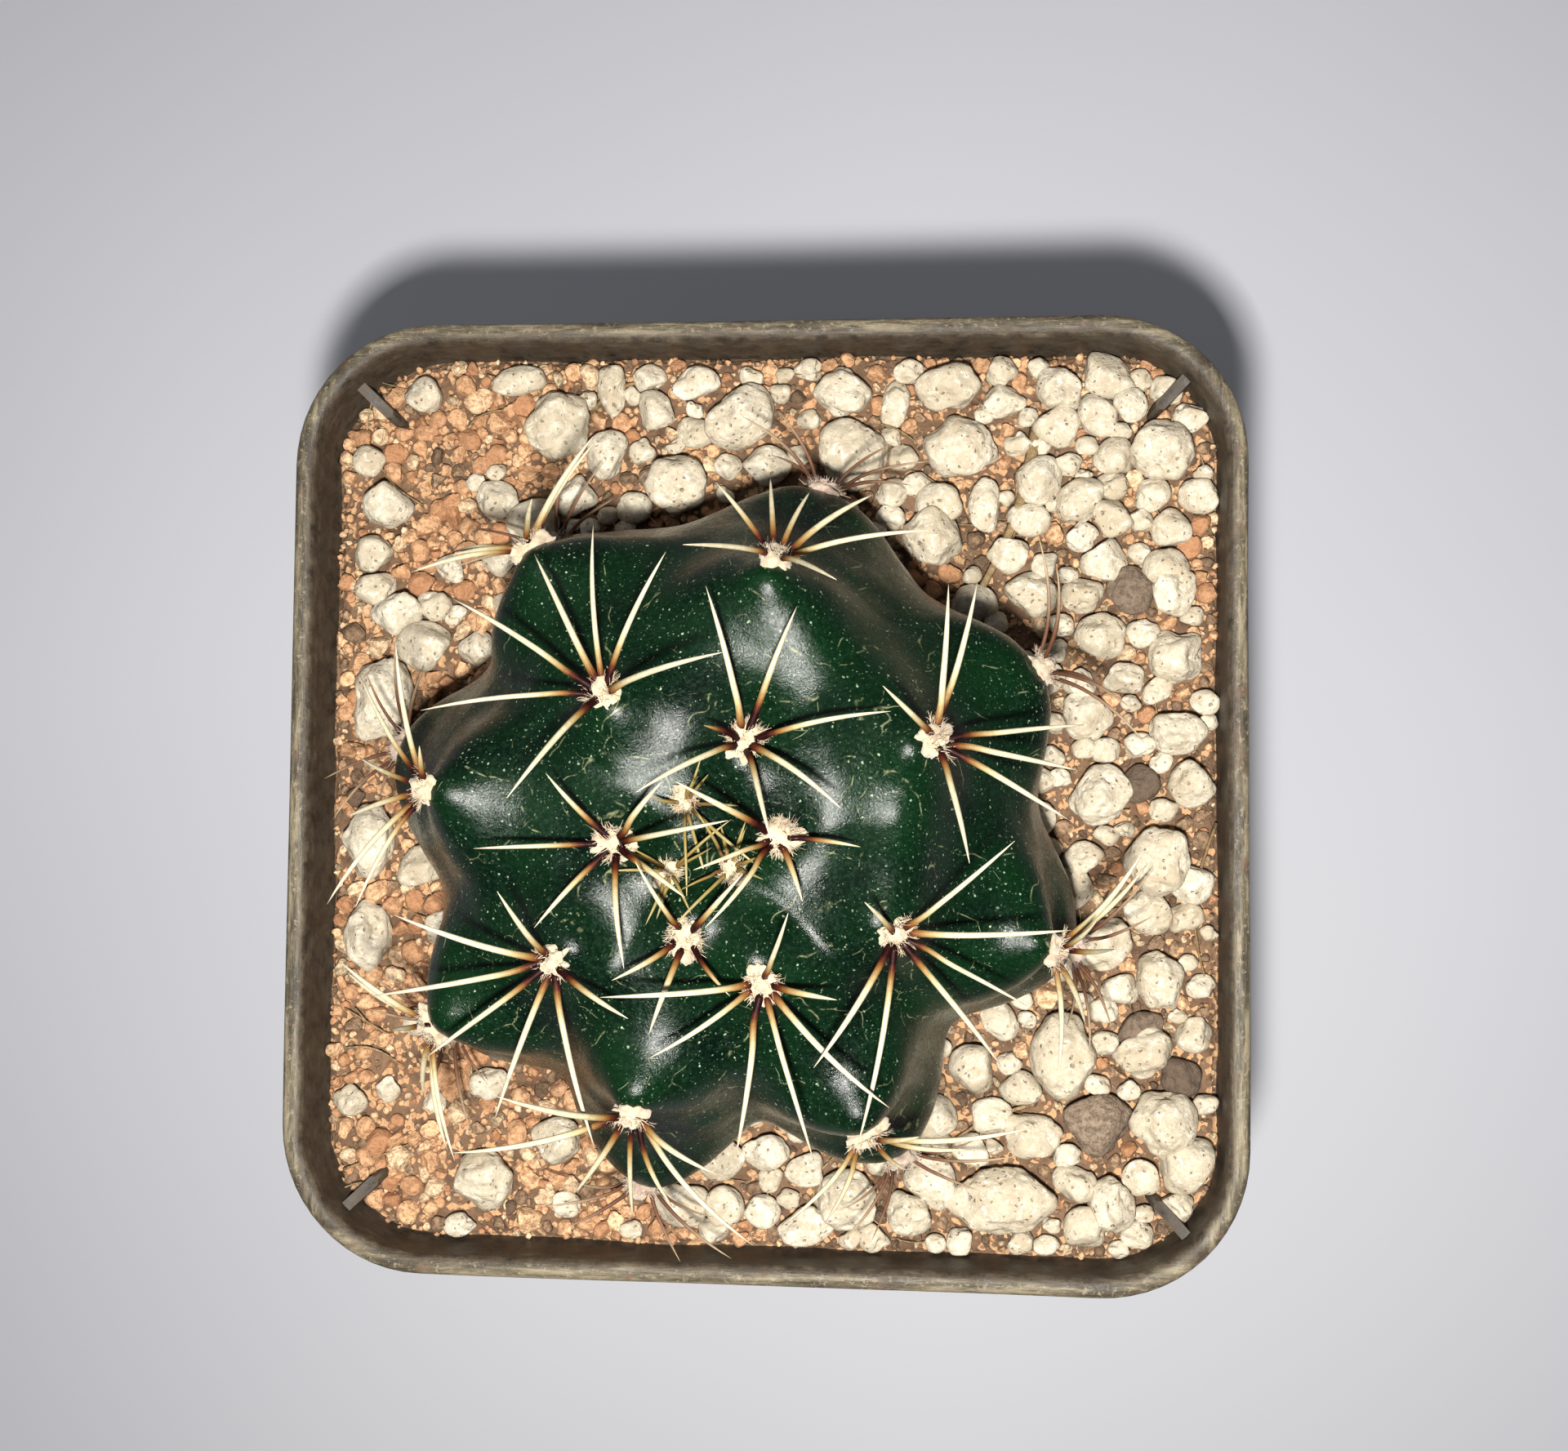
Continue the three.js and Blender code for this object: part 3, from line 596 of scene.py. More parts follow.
def through(rows, periodic):
    """Control rows whose smooth curve passes through the rows, less one at each end."""
    control = rows
    for _ in range(4):
        if periodic:
            before, after = np.roll(control, 1, axis=0), np.roll(control, -1, axis=0)
        else:
            before = np.concatenate([control[:1], control[:-1]])
            after = np.concatenate([control[1:], control[-1:]])
        missed = rows - (before + 4 * control + after) / 6
        if not periodic:
            missed[0] = missed[-1] = 0
        control = control + missed
    return control


def body_rings():
    """The CAD body as rings of points from the crown down, read back and made finer."""
    points, _ = welded("cactus_body")
    tip = points[points[:, 2].argmin()]
    crown_height = points[np.hypot(*(points[:, :2] - tip[:2]).T) < 0.01][:, 2].max()
    centre = np.array([tip[0], tip[1], crown_height - 16])
    out = points - centre
    reach = np.hypot(out[:, 0], out[:, 1])
    turn = np.round(np.arctan2(out[:, 1], out[:, 0]) / FULL_TURN * RING_POINTS).astype(int)
    turn[reach < 0.01] = -RING_POINTS
    columns = []
    for i in range(RING_POINTS):
        column = points[(turn % RING_POINTS == i) & (turn != -RING_POINTS)]
        fall = np.arctan2(np.hypot(*(column - centre)[:, :2].T), (column - centre)[:, 2])
        columns.append(column[fall.argsort()])
    rings = np.array(columns).transpose(1, 0, 2)
    crown = np.broadcast_to([*tip[:2], crown_height], rings[0].shape)
    root = np.broadcast_to(tip, rings[0].shape)
    half = RING_POINTS // 2
    across = [np.roll(rings[0], half, axis=0)], [np.roll(rings[-1], half, axis=0)]
    rows = through(np.concatenate([across[0], [crown], rings, [root], across[1]]), False)
    around = through(spline_rows(rows, FINER).transpose(1, 0, 2), True)
    around = spline_rows(np.concatenate([around[-1:], around, around[:2]]), FINER)
    return around.transpose(1, 0, 2)


def shelved(points, normals, clusters):
    """The body's points with the skin raised into a shelf just above each areole."""
    crown = points[0]
    for node, (root, _) in clusters.items():
        height = SHELF_HEIGHTS.get(node[-1], 0) if node.startswith("rib") else 0
        nearest = np.linalg.norm(points - root, axis=1).argmin()
        upward = crown - root
        upward = unit(upward - (upward @ normals[nearest]) * normals[nearest])
        away = np.linalg.norm(points - points[nearest] - upward * SHELF_LEAD, axis=1)
        swell = height * np.exp(-((away / SHELF_WIDTH) ** 2))
        points = points + unit(normals + np.array([0, 0, 0.7])) * swell[:, None]
    return points


def build_body(material, clusters):
    rings = body_rings()
    steps, count = rings.shape[:2]
    middle = rings.mean(axis=1, keepdims=True)
    radius = np.linalg.norm(rings - middle, axis=2)
    width = count // 16
    wrapped = np.concatenate([radius[:, -width:], radius, radius[:, :width]], axis=1)
    window = np.cumsum(np.insert(wrapped, 0, 0, axis=1), axis=1)
    even = (window[:, 2 * width :] - window[:, : -2 * width])[:, :count] / (2 * width)
    hollow = np.clip((even - radius) / 1.2, 0, 1)
    points = rings.reshape(-1, 3)
    normals = unit(np.cross(np.gradient(rings, axis=0), np.gradient(rings, axis=1)).reshape(-1, 3))
    outward = np.sign(np.sum(normals * (points - middle[steps // 3]), axis=1).mean())
    lumps = 0.2 * layered_noise(points, 5.5, 3, 2) + 0.035 * layered_noise(points, 1.5, 9, 2)
    near_pole = np.linalg.norm(points - np.repeat(middle, count, 1).reshape(-1, 3), axis=1)
    points = points + normals * (outward * lumps * smoothstep(near_pole, 0.2, 3))[:, None]
    points = shelved(points, normals * outward, clusters)
    shape = Shape()
    crown, root = points[:count].mean(0), points[-count:].mean(0)
    inner = points[count:-count]
    fan = np.arange(count)
    last = len(inner) - count
    caps = [
        np.stack([np.full(count, len(inner)), (fan + 1) % count, fan], 1),
        np.stack([np.full(count, len(inner) + 1), last + fan, last + (fan + 1) % count], 1),
    ]
    everything = np.concatenate([inner, [crown, root]])
    hollows = np.concatenate([hollow.ravel()[count:-count], [0, 0]])
    faces = ring_faces(steps - 2, count)[:, ::-1]
    shape.add(everything, faces, *caps, hollow=hollows, level=everything[:, 2] - MIX_TOP)
    body = shape.piece("cactus", [material], "cactus_skin", ["cactus_body"])
    triangles = np.concatenate([faces[:, :3], faces[:, [0, 2, 3]], *caps])
    return body, tree_of(everything, triangles)


def body_material():
    m = Material("cactus_skin", Specular_IOR_Level=0.22)
    broad = m.noise(6, 3, 0.5)
    base = m.ramp(broad, (0.32, (0.0007, 0.0036, 0.0019)), (0.68, (0.0014, 0.0120, 0.0030)))
    fine = m.noise(0.3, 3, 0.7)
    base = m.mix(m.ramp(fine, (0.45, 0.0), (0.7, 0.6)), base, (0.005, 0.021, 0.009))
    hollow = m.math("MULTIPLY", m.value("hollow"), 0.14)
    drop = m.math("SUBTRACT", 1.0, m.math("DIVIDE", m.value("level"), 8.0), clamp=True)
    corky = m.math("MULTIPLY", hollow, drop)
    corky = m.math("ADD", corky, m.math("MULTIPLY", m.math("POWER", drop, 5), 0.4), clamp=True)
    base = m.mix(corky, base, (0.008, 0.010, 0.006))
    dot_kinds = (
        # size of the cells in mm, share of them left out, colour
        (0.25, 0.4, (0.07, 0.13, 0.075)),
        (0.33, 0.55, (0.15, 0.23, 0.14)),
        (0.48, 0.72, (0.3, 0.38, 0.25)),
    )
    for size, least, colour in dot_kinds:
        place = m.bent(0.24, 0.2)
        near = m.cells(size, vector=place)
        chosen = m.node("ShaderNodeSeparateColor", {0: m.cells(size, output="Color", vector=place)})
        picked = m.math("GREATER_THAN", chosen.outputs[0], least)
        dots = m.math("MULTIPLY", m.ramp(near, (0.08, 1.0), (0.20, 0.0)), picked)
        dots = m.math("MULTIPLY", dots, m.ramp(m.noise(2.5, 3, 0.6), (0.36, 0.25), (0.6, 1.0)))
        base = m.mix(dots, base, colour)
    for size, width, patch in ((11, 0.0075, 1.6), (4.5, 0.010, 2.2)):
        lines = m.cells(size, feature="DISTANCE_TO_EDGE", vector=m.bent(4, 4))
        scratch = m.ramp(lines, (0.0, 1.0), (width, 0.0))
        broken = m.ramp(m.noise(patch, 4, 0.75), (0.52, 0.0), (0.62, 0.8))
        scratch = m.math("MULTIPLY", scratch, broken)
        base = m.mix(scratch, base, (0.20, 0.21, 0.11))
    m.set(Base_Color=base)
    rough = m.ramp(m.noise(0.3, 4, 0.75), (0.35, 0.15), (0.65, 0.36))
    m.set(Roughness=m.mix(corky, rough, (0.6, 0.6, 0.6)))
    m.bump(m.noise(0.15, 3, 0.7), 0.034, 0.9)
    m.bump(m.noise(0.5, 3, 0.6), 0.03, 0.5)
    m.bump(m.noise(1.6, 2, 0.5), 0.12, 0.3)
    return m.material


# ---------------------------------------------------------------- spines and wool
SPINE_STEPS = 15
SPINE_SIDES = 8
SPINE_RADIUS = 0.205
HAIRS = 420
HAIR_LENGTH = 0.8
HAIR_RADIUS = 0.032
HAIR_STEPS = 5
HAIR_SIDES = 3
WOOL_RADIUS = 1.32
YOUNG_SPINES = 5  # besides the CAD ones, in each cluster at the crown


def read_cluster(node):
    """The root, and the middle and tip of each spine, of a CAD spine cluster."""
    points, triangles = welded(node)
    neighbours = [set() for _ in points]
    for triangle in triangles:
        for i in range(3):
            neighbours[triangle[i]].update(int(j) for j in triangle if j != triangle[i])
    centre = np.median(points, axis=0)
    for _ in range(4):
        near = np.linalg.norm(points - centre, axis=1) < 1.7
        centre = points[near].mean(axis=0)
    reach = np.linalg.norm(points - centre, axis=1)
    spines = []
    for i, around in enumerate(neighbours):
        if reach[i] > 1.95 and all(reach[i] > reach[j] for j in around):
            spines.append((points[list(around)].mean(axis=0), points[i]))
    return centre, spines


def spine_tubes(root, normal, seat, spines, thickness, rng):
    """Curved tubes to the spines' tips. Each starts at its own seat in the wool round the root."""
    share = np.linspace(0, 1, SPINE_STEPS) ** 1.25
    paths, radii = [], []
    for middle, tip in spines:
        straight = np.linalg.norm(tip - root)
        aim = unit(tip - root)
        flat = unit(aim - (aim @ normal) * normal)
        start = root + flat * seat * rng.uniform(0.7, 1.15)
        end = tip - aim * 0.1
        bend = np.clip(np.linalg.norm(middle - root) / straight, 0.3, 0.6)
        t = share[:, None]
        curve = (
            start * ((t - bend) * (t - 1) / bend)
            + (middle - normal * 0.25) * (t * (t - 1) / (bend * (bend - 1)))
            + end * (t * (t - bend) / (1 - bend))
        )
        side = unit(np.cross(aim, normal))
        sway = rng.uniform(-0.025, 0.025) * straight * np.sin(t * math.pi) * t
        kink = rng.uniform(-0.16, 0.16) * np.exp(-(((t - 0.2) / 0.12) ** 2)) * (rng.uniform() < 0.4)
        paths.append(curve + (sway + kink) * side)
        thick = SPINE_RADIUS * thickness * rng.uniform(0.85, 1.12)
        taper = 1 - 0.2 * share - 0.74 * share**5 + 0.25 * np.exp(-((share / 0.12) ** 2))
        radii.append(thick * np.maximum(taper, 0.06))
    return np.array(paths), np.array(radii)


def hair_tubes(root, normal, count, size, rng):
    """Short curled fibres that stand out of the wool in every direction."""
    away = random_directions(rng, count)
    away = unit(away + normal * (0.35 + np.abs(away @ normal))[:, None])
    flat = random_directions(rng, count)
    flat = unit(flat - (flat @ normal)[:, None] * normal)
    spread = WOOL_RADIUS * size * np.sqrt(rng.uniform(0, 0.85, count))
    start = root + flat * spread[:, None] - normal * 0.15
    lean = unit(away + flat * (spread / (WOOL_RADIUS * size))[:, None] * 0.9)
    curl = random_directions(rng, count) * rng.uniform(0.2, 0.9, count)[:, None]
    length = HAIR_LENGTH * size * rng.uniform(0.5, 1.15, count) * (1.1 - 0.3 * spread / WOOL_RADIUS)
    t = np.linspace(0, 1, HAIR_STEPS)[None, :, None]
    reach = length[:, None, None]
    paths = start[:, None] + lean[:, None] * t * reach + curl[:, None] * t**2 * reach * 0.5
    radii = HAIR_RADIUS * (1.1 - 0.75 * t[..., 0]) * rng.uniform(0.7, 1.3, count)[:, None]
    return paths, radii


def fine_spines(root, normal, rng):
    """The middles and tips of a few more young spines, tangled over the crown."""
    made = []
    for _ in range(YOUNG_SPINES):
        flat = random_directions(rng, 1)[0]
        flat = unit(flat - (flat @ normal) * normal)
        reach = rng.uniform(2.2, 5.2)
        tip = root + (flat + normal * rng.uniform(0.05, 0.45)) * reach
        made.append(((root + tip) / 2 + normal * rng.uniform(0.1, 0.5), tip))
    return made


def build_cluster(node, root, spines, skin, materials, size, age, rng):
    """One areole: its spines, its mound of wool and the hairs that stand out of it."""
    found, normal, *_ = skin.find_nearest(Vector(root))
    found, normal = np.array(found), np.array(normal)
    if (root - found) @ normal < 0:
        normal = -normal
    outward = np.array([root[0] - BODY_X, root[1] - BODY_Y, 0])
    outward = unit(outward - outward @ normal * normal)
    root = found + normal * 0.4 - outward * 0.05
    if age == 0:
        spines = spines + fine_spines(root, normal, rng)
    shape = Shape()
    thickness = 0.62 if age == 0 else 1 - 0.3 * (age > 0.9)
    paths, radii = spine_tubes(root, normal, 0.85 * size, spines, thickness, rng)
    points, quads, caps = tubes(paths, radii, SPINE_SIDES)
    reach = np.linalg.norm(paths - root, axis=2) / 10
    reach = np.broadcast_to(reach[:, :, None], points.shape[:3])
    tone = np.broadcast_to(rng.uniform(0, 1, len(paths))[:, None, None], points.shape[:3])
    shape.add(points, quads, caps, reach=reach.ravel(), tone=tone.ravel(), age=age)
    directions, faces = BALLS[4]
    up, out = directions @ normal, directions @ outward
    side = directions - up[:, None] * normal - out[:, None] * outward
    rough = 0.94 + 0.34 * layered_noise(directions * 2.2 + root, 1.0, 4, 3)
    spread = out[:, None] * outward * 1.25 + side * 0.86
    mound = found + outward * 0.12
    mound = mound + (spread * WOOL_RADIUS + up[:, None] * normal * 0.95) * size * rough[:, None]
    old = age * 0.4 + 0.25 * smoothstep(out, 0.4, 1)
    shape.add(mound, faces, material=1, reach=0.0, tone=0.6, age=old)
    middle = found + normal * 0.45 + outward * 0.12
    paths, radii = hair_tubes(middle, normal, int(HAIRS * size), size, rng)
    points, quads, caps = tubes(paths, radii, HAIR_SIDES)
    tone = np.repeat(rng.uniform(0, 1, len(paths)), HAIR_STEPS * HAIR_SIDES)
    outer = smoothstep((paths[:, 0] - found) @ outward, 0.3, 1.4)
    aged = np.repeat(np.clip(age * 0.4 + 0.35 * outer, 0, 1), HAIR_STEPS * HAIR_SIDES)
    shape.add(points, quads, caps, material=1, reach=0.0, tone=tone, age=aged)
    shape.piece(node.replace("spines", "areole"), materials, "spine", [node])


def spine_material():
    m = Material("spine", Specular_IOR_Level=0.12)
    shift = m.math("MULTIPLY", m.math("SUBTRACT", m.value("tone"), 0.5), 0.14)
    along = m.math("ADD", m.value("reach"), shift)
    colour = m.ramp(
        along,
        (0.11, (0.011, 0.001, 0.001)),
        (0.155, (0.060, 0.013, 0.005)),
        (0.20, (0.17, 0.080, 0.020)),
        (0.28, (0.31, 0.235, 0.11)),
        (0.38, (0.45, 0.405, 0.27)),
        (0.80, (0.51, 0.46, 0.34)),
        (1.0, (0.46, 0.41, 0.30)),
    )
    young = m.ramp(
        along, (0.0, (0.06, 0.02, 0.006)), (0.2, (0.20, 0.15, 0.045)), (0.6, (0.36, 0.33, 0.18))
    )
    colour = m.mix(m.math("LESS_THAN", m.value("age"), 0.25), colour, young)
    dry = m.ramp(
        along, (0.0, (0.03, 0.012, 0.008)), (0.3, (0.13, 0.06, 0.035)), (0.75, (0.38, 0.30, 0.2))
    )
    colour = m.mix(m.math("GREATER_THAN", m.value("age"), 0.9), colour, dry)
    grain = m.noise(0.3, 3, 0.7)
    colour = m.mix(m.ramp(grain, (0.35, 0.0), (0.7, 0.6)), colour, (0.62, 0.55, 0.45), "MULTIPLY")
    m.set(Base_Color=colour)
    m.set(Roughness=m.ramp(grain, (0.3, 0.42), (0.7, 0.62)))
    m.bump(grain, 0.03, 0.4)
    return m.material


def wool_material():
    m = Material("areole_wool", Roughness=0.95, Specular_IOR_Level=0.2)
    m.set(Sheen_Weight=0.3, Sheen_Roughness=0.5)
    cream = m.ramp(m.value("tone"), (0.0, (0.30, 0.22, 0.13)), (1.0, (0.60, 0.52, 0.34)))
    old = m.ramp(m.value("tone"), (0.0, (0.16, 0.07, 0.075)), (1.0, (0.46, 0.34, 0.32)))
    base = m.mix(m.math("MULTIPLY", m.value("age"), 0.85), cream, old)
    patch = m.ramp(m.noise(0.7, 3, 0.6), (0.46, 0.0), (0.64, 0.75))
    base = m.mix(m.math("MULTIPLY", patch, 0.5), base, (0.16, 0.075, 0.06))
    m.set(Base_Color=base)
    m.bump(m.noise(0.14, 3, 0.7), 0.06, 0.8)
    return m.material


# ---------------------------------------------------------------- stones and grit
MIX_TOP = 60.4
MIX_GAP = 0.3
CAD_STONE_PITS = 14
LOOSE_PITS = 12
GRAVEL = (520, 1.4, 4.9)  # the most pieces, then the least and greatest size
COARSE_GRIT = (2400, 0.8, 2.5)
FINE_GRIT = (4200, 0.35, 1.0)
STRAWS = 95  # besides the listed ones
STRAW_STEPS = 9
STRAW_SIDES = 6
SMALL_PUMICE = [
    # x, y, width, depth of the smaller stones that lie in the top of the growing mix
    (-26.3, 30.4, 2.8, 2.8),
    (-19.0, 31.4, 4.1, 2.2),
    (-11.9, 30.5, 2.2, 4.0),
    (-5.4, 31.0, 3.7, 2.5),
    (-12.1, 25.6, 3.4, 3.7),
    (-20.5, 22.3, 3.4, 3.1),
    (-30.5, 25.3, 2.5, 2.5),
    (-28.9, 22.0, 3.8, 3.7),
    (9.5, 29.3, 2.1, 3.6),
    (-8.4, 28.9, 3.1, 3.1),
    (26.7, 29.0, 2.6, 2.7),
    (20.2, 23.5, 3.5, 3.6),
    (12.8, 21.8, 3.6, 3.0),
    (16.1, 21.7, 2.4, 4.2),
    (25.5, 20.7, 2.9, 3.0),
    (29.3, 16.9, 3.5, 3.0),
    (-25.9, 11.2, 4.4, 4.0),
    (-28.1, 13.7, 4.1, 3.4),
    (-29.8, 15.5, 3.2, 2.5),
    (-25.9, -5.3, 3.8, 3.0),
    (-15.3, -25.6, 3.7, 3.6),
    (-31.0, -23.0, 2.8, 2.4),
    (31.2, 1.3, 3.5, 3.5),
    (31.2, -6.0, 3.4, 2.9),
    (31.0, -26.0, 4.0, 4.0),
    (19.9, -24.3, 4.4, 3.2),
    (23.7, -30.6, 3.2, 3.0),
    (3.5, -31.2, 4.2, 2.9),
    (0.5, -26.0, 3.6, 2.9),
    (-2.5, -29.9, 3.0, 2.9),
    (15.5, -19.4, 3.5, 3.5),
]
BARK = [
    # x, y, width, depth of the brown lumps
    (26.7, 15.4, 3.5, 3.6),
    (24.6, -23.3, 5.2, 4.6),
    (27.4, 1.3, 3.2, 2.9),
    (27.6, -16.5, 3.2, 2.8),
    (30.5, -19.8, 3.0, 2.6),
    (-8.0, 23.9, 3.4, 2.2),
]


def broken_reach(directions, faces, rng, cuts, least, rounds):
    """How far a broken lump's surface lies from its middle in each direction, corners rounded."""
    planes = random_directions(rng, cuts)
    depth = rng.uniform(least, 1, cuts)
    facing = directions @ planes.T
    reach = np.where(facing > 0.05, depth / np.maximum(facing, 0.05), 9).min(axis=1)
    return blurred(np.minimum(reach, 1), faces, rounds)


def pitted(reach, directions, size, rng, pits):
    """The reach with broad dents, fine roughness and small pits. Size is in millimetres."""
    seed = int(rng.integers(1000))
    places = directions * size / 2
    reach = reach * (1 + 0.10 * soft_noise(directions, 0.75, seed))
    reach = reach * (1 + 0.05 * layered_noise(places, 1.1, seed + 9, 3))
    reach = reach - 0.05 * smoothstep(soft_noise(places, 0.8, seed + 20), 0.25, 0.7)
    for centre in random_directions(rng, pits):
        wide = rng.uniform(0.12, 0.32) / (size / 2)
        deep = wide * rng.uniform(0.4, 0.9)
        near = np.linalg.norm(directions - centre, axis=1)
        reach = reach - deep * np.exp(-((near / wide) ** 2))
    return reach


def filled(points):
    """The points stretched to fill a box of side 1 round the origin."""
    return (points - points.min(axis=0)) / np.ptp(points, axis=0) - 0.5


def cad_stone(node, rng):
    """A CAD stone, broken, dented and pitted inside the box that it had."""
    points, triangles = welded(node)
    directions, faces = BALLS[5]
    low, high = points.min(axis=0), points.max(axis=0)
    centre, size = (low + high) / 2, high - low
    hull = tree_of(points, triangles)
    reach = np.empty(len(directions))
    for i, direction in enumerate(directions):
        hit = hull.ray_cast(Vector(centre), Vector(direction * size))[0]
        reach[i] = np.linalg.norm((np.array(hit) - centre) / size)
    reach = blurred(reach, faces, 26)
    reach = reach / reach.max() * broken_reach(directions, faces, rng, 9, 0.72, 5)
    reach = pitted(reach / reach.max(), directions, size.mean(), rng, CAD_STONE_PITS)
    return centre + filled(directions * reach[:, None]) * size, faces


def build_stones(material):
    names = sorted(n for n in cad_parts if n.startswith("pumice_"))
    for name in names:
        rng = np.random.default_rng(int(name[-2:]))
        points, faces = cad_stone(name, rng)
        shape = Shape()
        shape.add(points, faces, tone=rng.uniform(0, 1))
        shape.piece(name.replace("pumice", "pumice_stone"), [material], "pumice", [name])
    return [tuple(np.array(corner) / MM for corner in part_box(name)) for name in names]


def loose_stone(shape, rng, level, x, y, z, size, cuts=9, rounds=3):
    """Adds a broken and pitted stone of its own to a shape."""
    directions, faces = BALLS[level]
    reach = broken_reach(directions, faces, rng, cuts, 0.55, rounds)
    reach = pitted(reach / reach.max(), directions, float(np.mean(size)), rng, LOOSE_PITS)
    made = filled(directions * reach[:, None])
    turn = rng.uniform(-0.3, 0.3)
    c, s = math.cos(turn), math.sin(turn)
    spin = np.array([[c, s, 0], [-s, c, 0], [0, 0, 1]])
    points = made * size @ spin + np.array([x, y, z])
    shape.add(points, faces, tone=rng.uniform(0, 1))


def build_small_stones(pumice, bark):
    rng = np.random.default_rng(31)
    stones, lumps = Shape(), Shape()
    for x, y, width, depth in SMALL_PUMICE:
        height = min(width, depth) * 0.85
        loose_stone(stones, rng, 4, x, y, MIX_TOP + height * 0.22, np.array([width, depth, height]))
    for x, y, width, depth in BARK:
        height = min(width, depth) * 0.7
        size = np.array([width, depth, height])
        loose_stone(lumps, rng, 4, x, y, MIX_TOP + height * 0.15, size, cuts=7, rounds=2)
    stones.piece("pumice_small", [pumice], "pumice")
    lumps.piece("bark_lumps", [bark], "growing_mix")
    return SMALL_PUMICE + BARK


def body_reach_at_mix(skin_points):
    """A function that says if places are inside the body at the growing mix's level."""
    near = skin_points[np.abs(skin_points[:, 2] - (MIX_TOP + 0.6)) < 0.6]
    centre = near[:, :2].mean(axis=0)
    turn = np.arctan2(near[:, 1] - centre[1], near[:, 0] - centre[0])
    reach = np.hypot(near[:, 0] - centre[0], near[:, 1] - centre[1])
    order = turn.argsort()

    def inside(x, y, margin):
        here = np.arctan2(y - centre[1], x - centre[0])
        here = np.interp(here, turn[order], reach[order], period=FULL_TURN)
        return np.hypot(x - centre[0], y - centre[1]) < here + margin

    return inside


def orange_share(x, y):
    """How much of the grit is orange: most on the left and at the back right corner."""
    left = smoothstep(-x, -8, 10)
    back_right = smoothstep(x + y, 32, 48)
    return np.clip(0.25 + 0.55 * left + 0.5 * back_right, 0, 0.8)


def pumice_share(x, y):
    """How readily small pumice lies at a place: most on the right, the front and along the back."""
    right = smoothstep(np.array(x), 12, 24)
    front = smoothstep(np.array(-y), 20, 28) * smoothstep(np.array(x), -10, 4)
    back = smoothstep(np.array(y), 16, 24) * smoothstep(np.array(x), -22, -8) * 0.4
    return np.clip(0.03 + right * 0.65 + front + back, 0, 1)


def scatter(rng, count, low, high, blocked):
    """Places and sizes of grains, the largest first, clear of one another and the stones."""
    half, corner = inside_at(MIX_TOP)
    sizes = np.sort(low + (high - low) * rng.beta(1.1, 3.2, count))[::-1]
    placed = np.empty((count, 3))
    made = 0
    for size in sizes:
        for _ in range(12):
            x, y = rng.uniform(-half + 0.5, half - 0.5, 2)
            past = max(abs(x), abs(y)) > half - size / 2 - 0.25
            out = np.hypot(max(abs(x) - half + corner, 0), max(abs(y) - half + corner, 0))
            if past or out > corner - size / 2 - 0.2 or blocked(x, y, size / 2):
                continue
            gap = np.hypot(placed[:made, 0] - x, placed[:made, 1] - y)
            if made and (gap < (placed[:made, 2] + size) * 0.36).any():
                continue
            placed[made] = x, y, size
            made += 1
            break
    return placed[:made]


def grain_kinds(rng, level, kinds=14):
    """A few broken grains of about size 2, and their faces, for add_grains to copy."""
    directions, faces = BALLS[level]
    made = []
    for _ in range(kinds):
        reach = broken_reach(directions, faces, rng, 7, 0.42, 0)
        reach = reach * (1 + 0.06 * soft_noise(directions * 3, 1, int(rng.integers(999))))
        made.append(directions * reach[:, None])
    return made, faces


def add_grains(shape, rng, places, kinds, heights, sink):
    """Grains in a shape, each a turned and stretched copy of one of the kinds."""
    forms, faces = kinds
    for (x, y, size), base in zip(places, heights):
        form = forms[rng.integers(len(forms))]
        turn = rng.normal(size=4)
        w, i, j, k = turn / np.linalg.norm(turn)
        spin = np.array(
            [
                [1 - 2 * (j * j + k * k), 2 * (i * j - k * w), 2 * (i * k + j * w)],
                [2 * (i * j + k * w), 1 - 2 * (i * i + k * k), 2 * (j * k - i * w)],
                [2 * (i * k - j * w), 2 * (j * k + i * w), 1 - 2 * (i * i + j * j)],
            ]
        )
        stretch = rng.uniform(0.75, 1.25, 3) * size / 2
        points = (form * stretch) @ spin.T + np.array([x, y, base + size * (0.5 - sink)])
        shape.add(points, faces, tone=rng.uniform(0, 1))


def ground_height(x, y):
    """The uneven top of the fine growing mix."""
    flat = np.stack([x, y, np.zeros_like(x)], -1)
    return MIX_TOP - 0.75 + 0.45 * soft_noise(flat, 7, 21) + 0.22 * layered_noise(flat, 1.6, 27, 3)


def build_ground(material):
    """The fine growing mix as one closed block with a rough top."""
    shape = Shape()
    half, corner = inside_at(MIX_TOP)
    half, corner = half - MIX_GAP / 2, corner - MIX_GAP / 2
    rings = []
    for share in np.linspace(1, 0.25, 110):
        ring = rounded_square(half * share, corner * share)
        ring[:, 2] = ground_height(ring[:, 0], ring[:, 1])
        ring[:, 2] -= 0.5 * smoothstep(np.array([share]), 0.975, 1.0)
        rings.append(ring)
    for z in (RIM_BOTTOM, 45, 30, 15, FLOOR_TOP + MIX_GAP):
        side_half, side_corner = inside_at(z)
        rings.insert(0, rounded_square(side_half - MIX_GAP, side_corner - MIX_GAP, z))
    points = np.concatenate(rings)
    count = len(rings[0])
    ends = [np.arange(count)[::-1][None], (np.arange(count) + (len(rings) - 1) * count)[None]]
    shape.add(points, ring_faces(len(rings), count), *ends, tone=0.5)
    shape.piece("growing_mix_fine", [material], "growing_mix", ["growing_mix"])


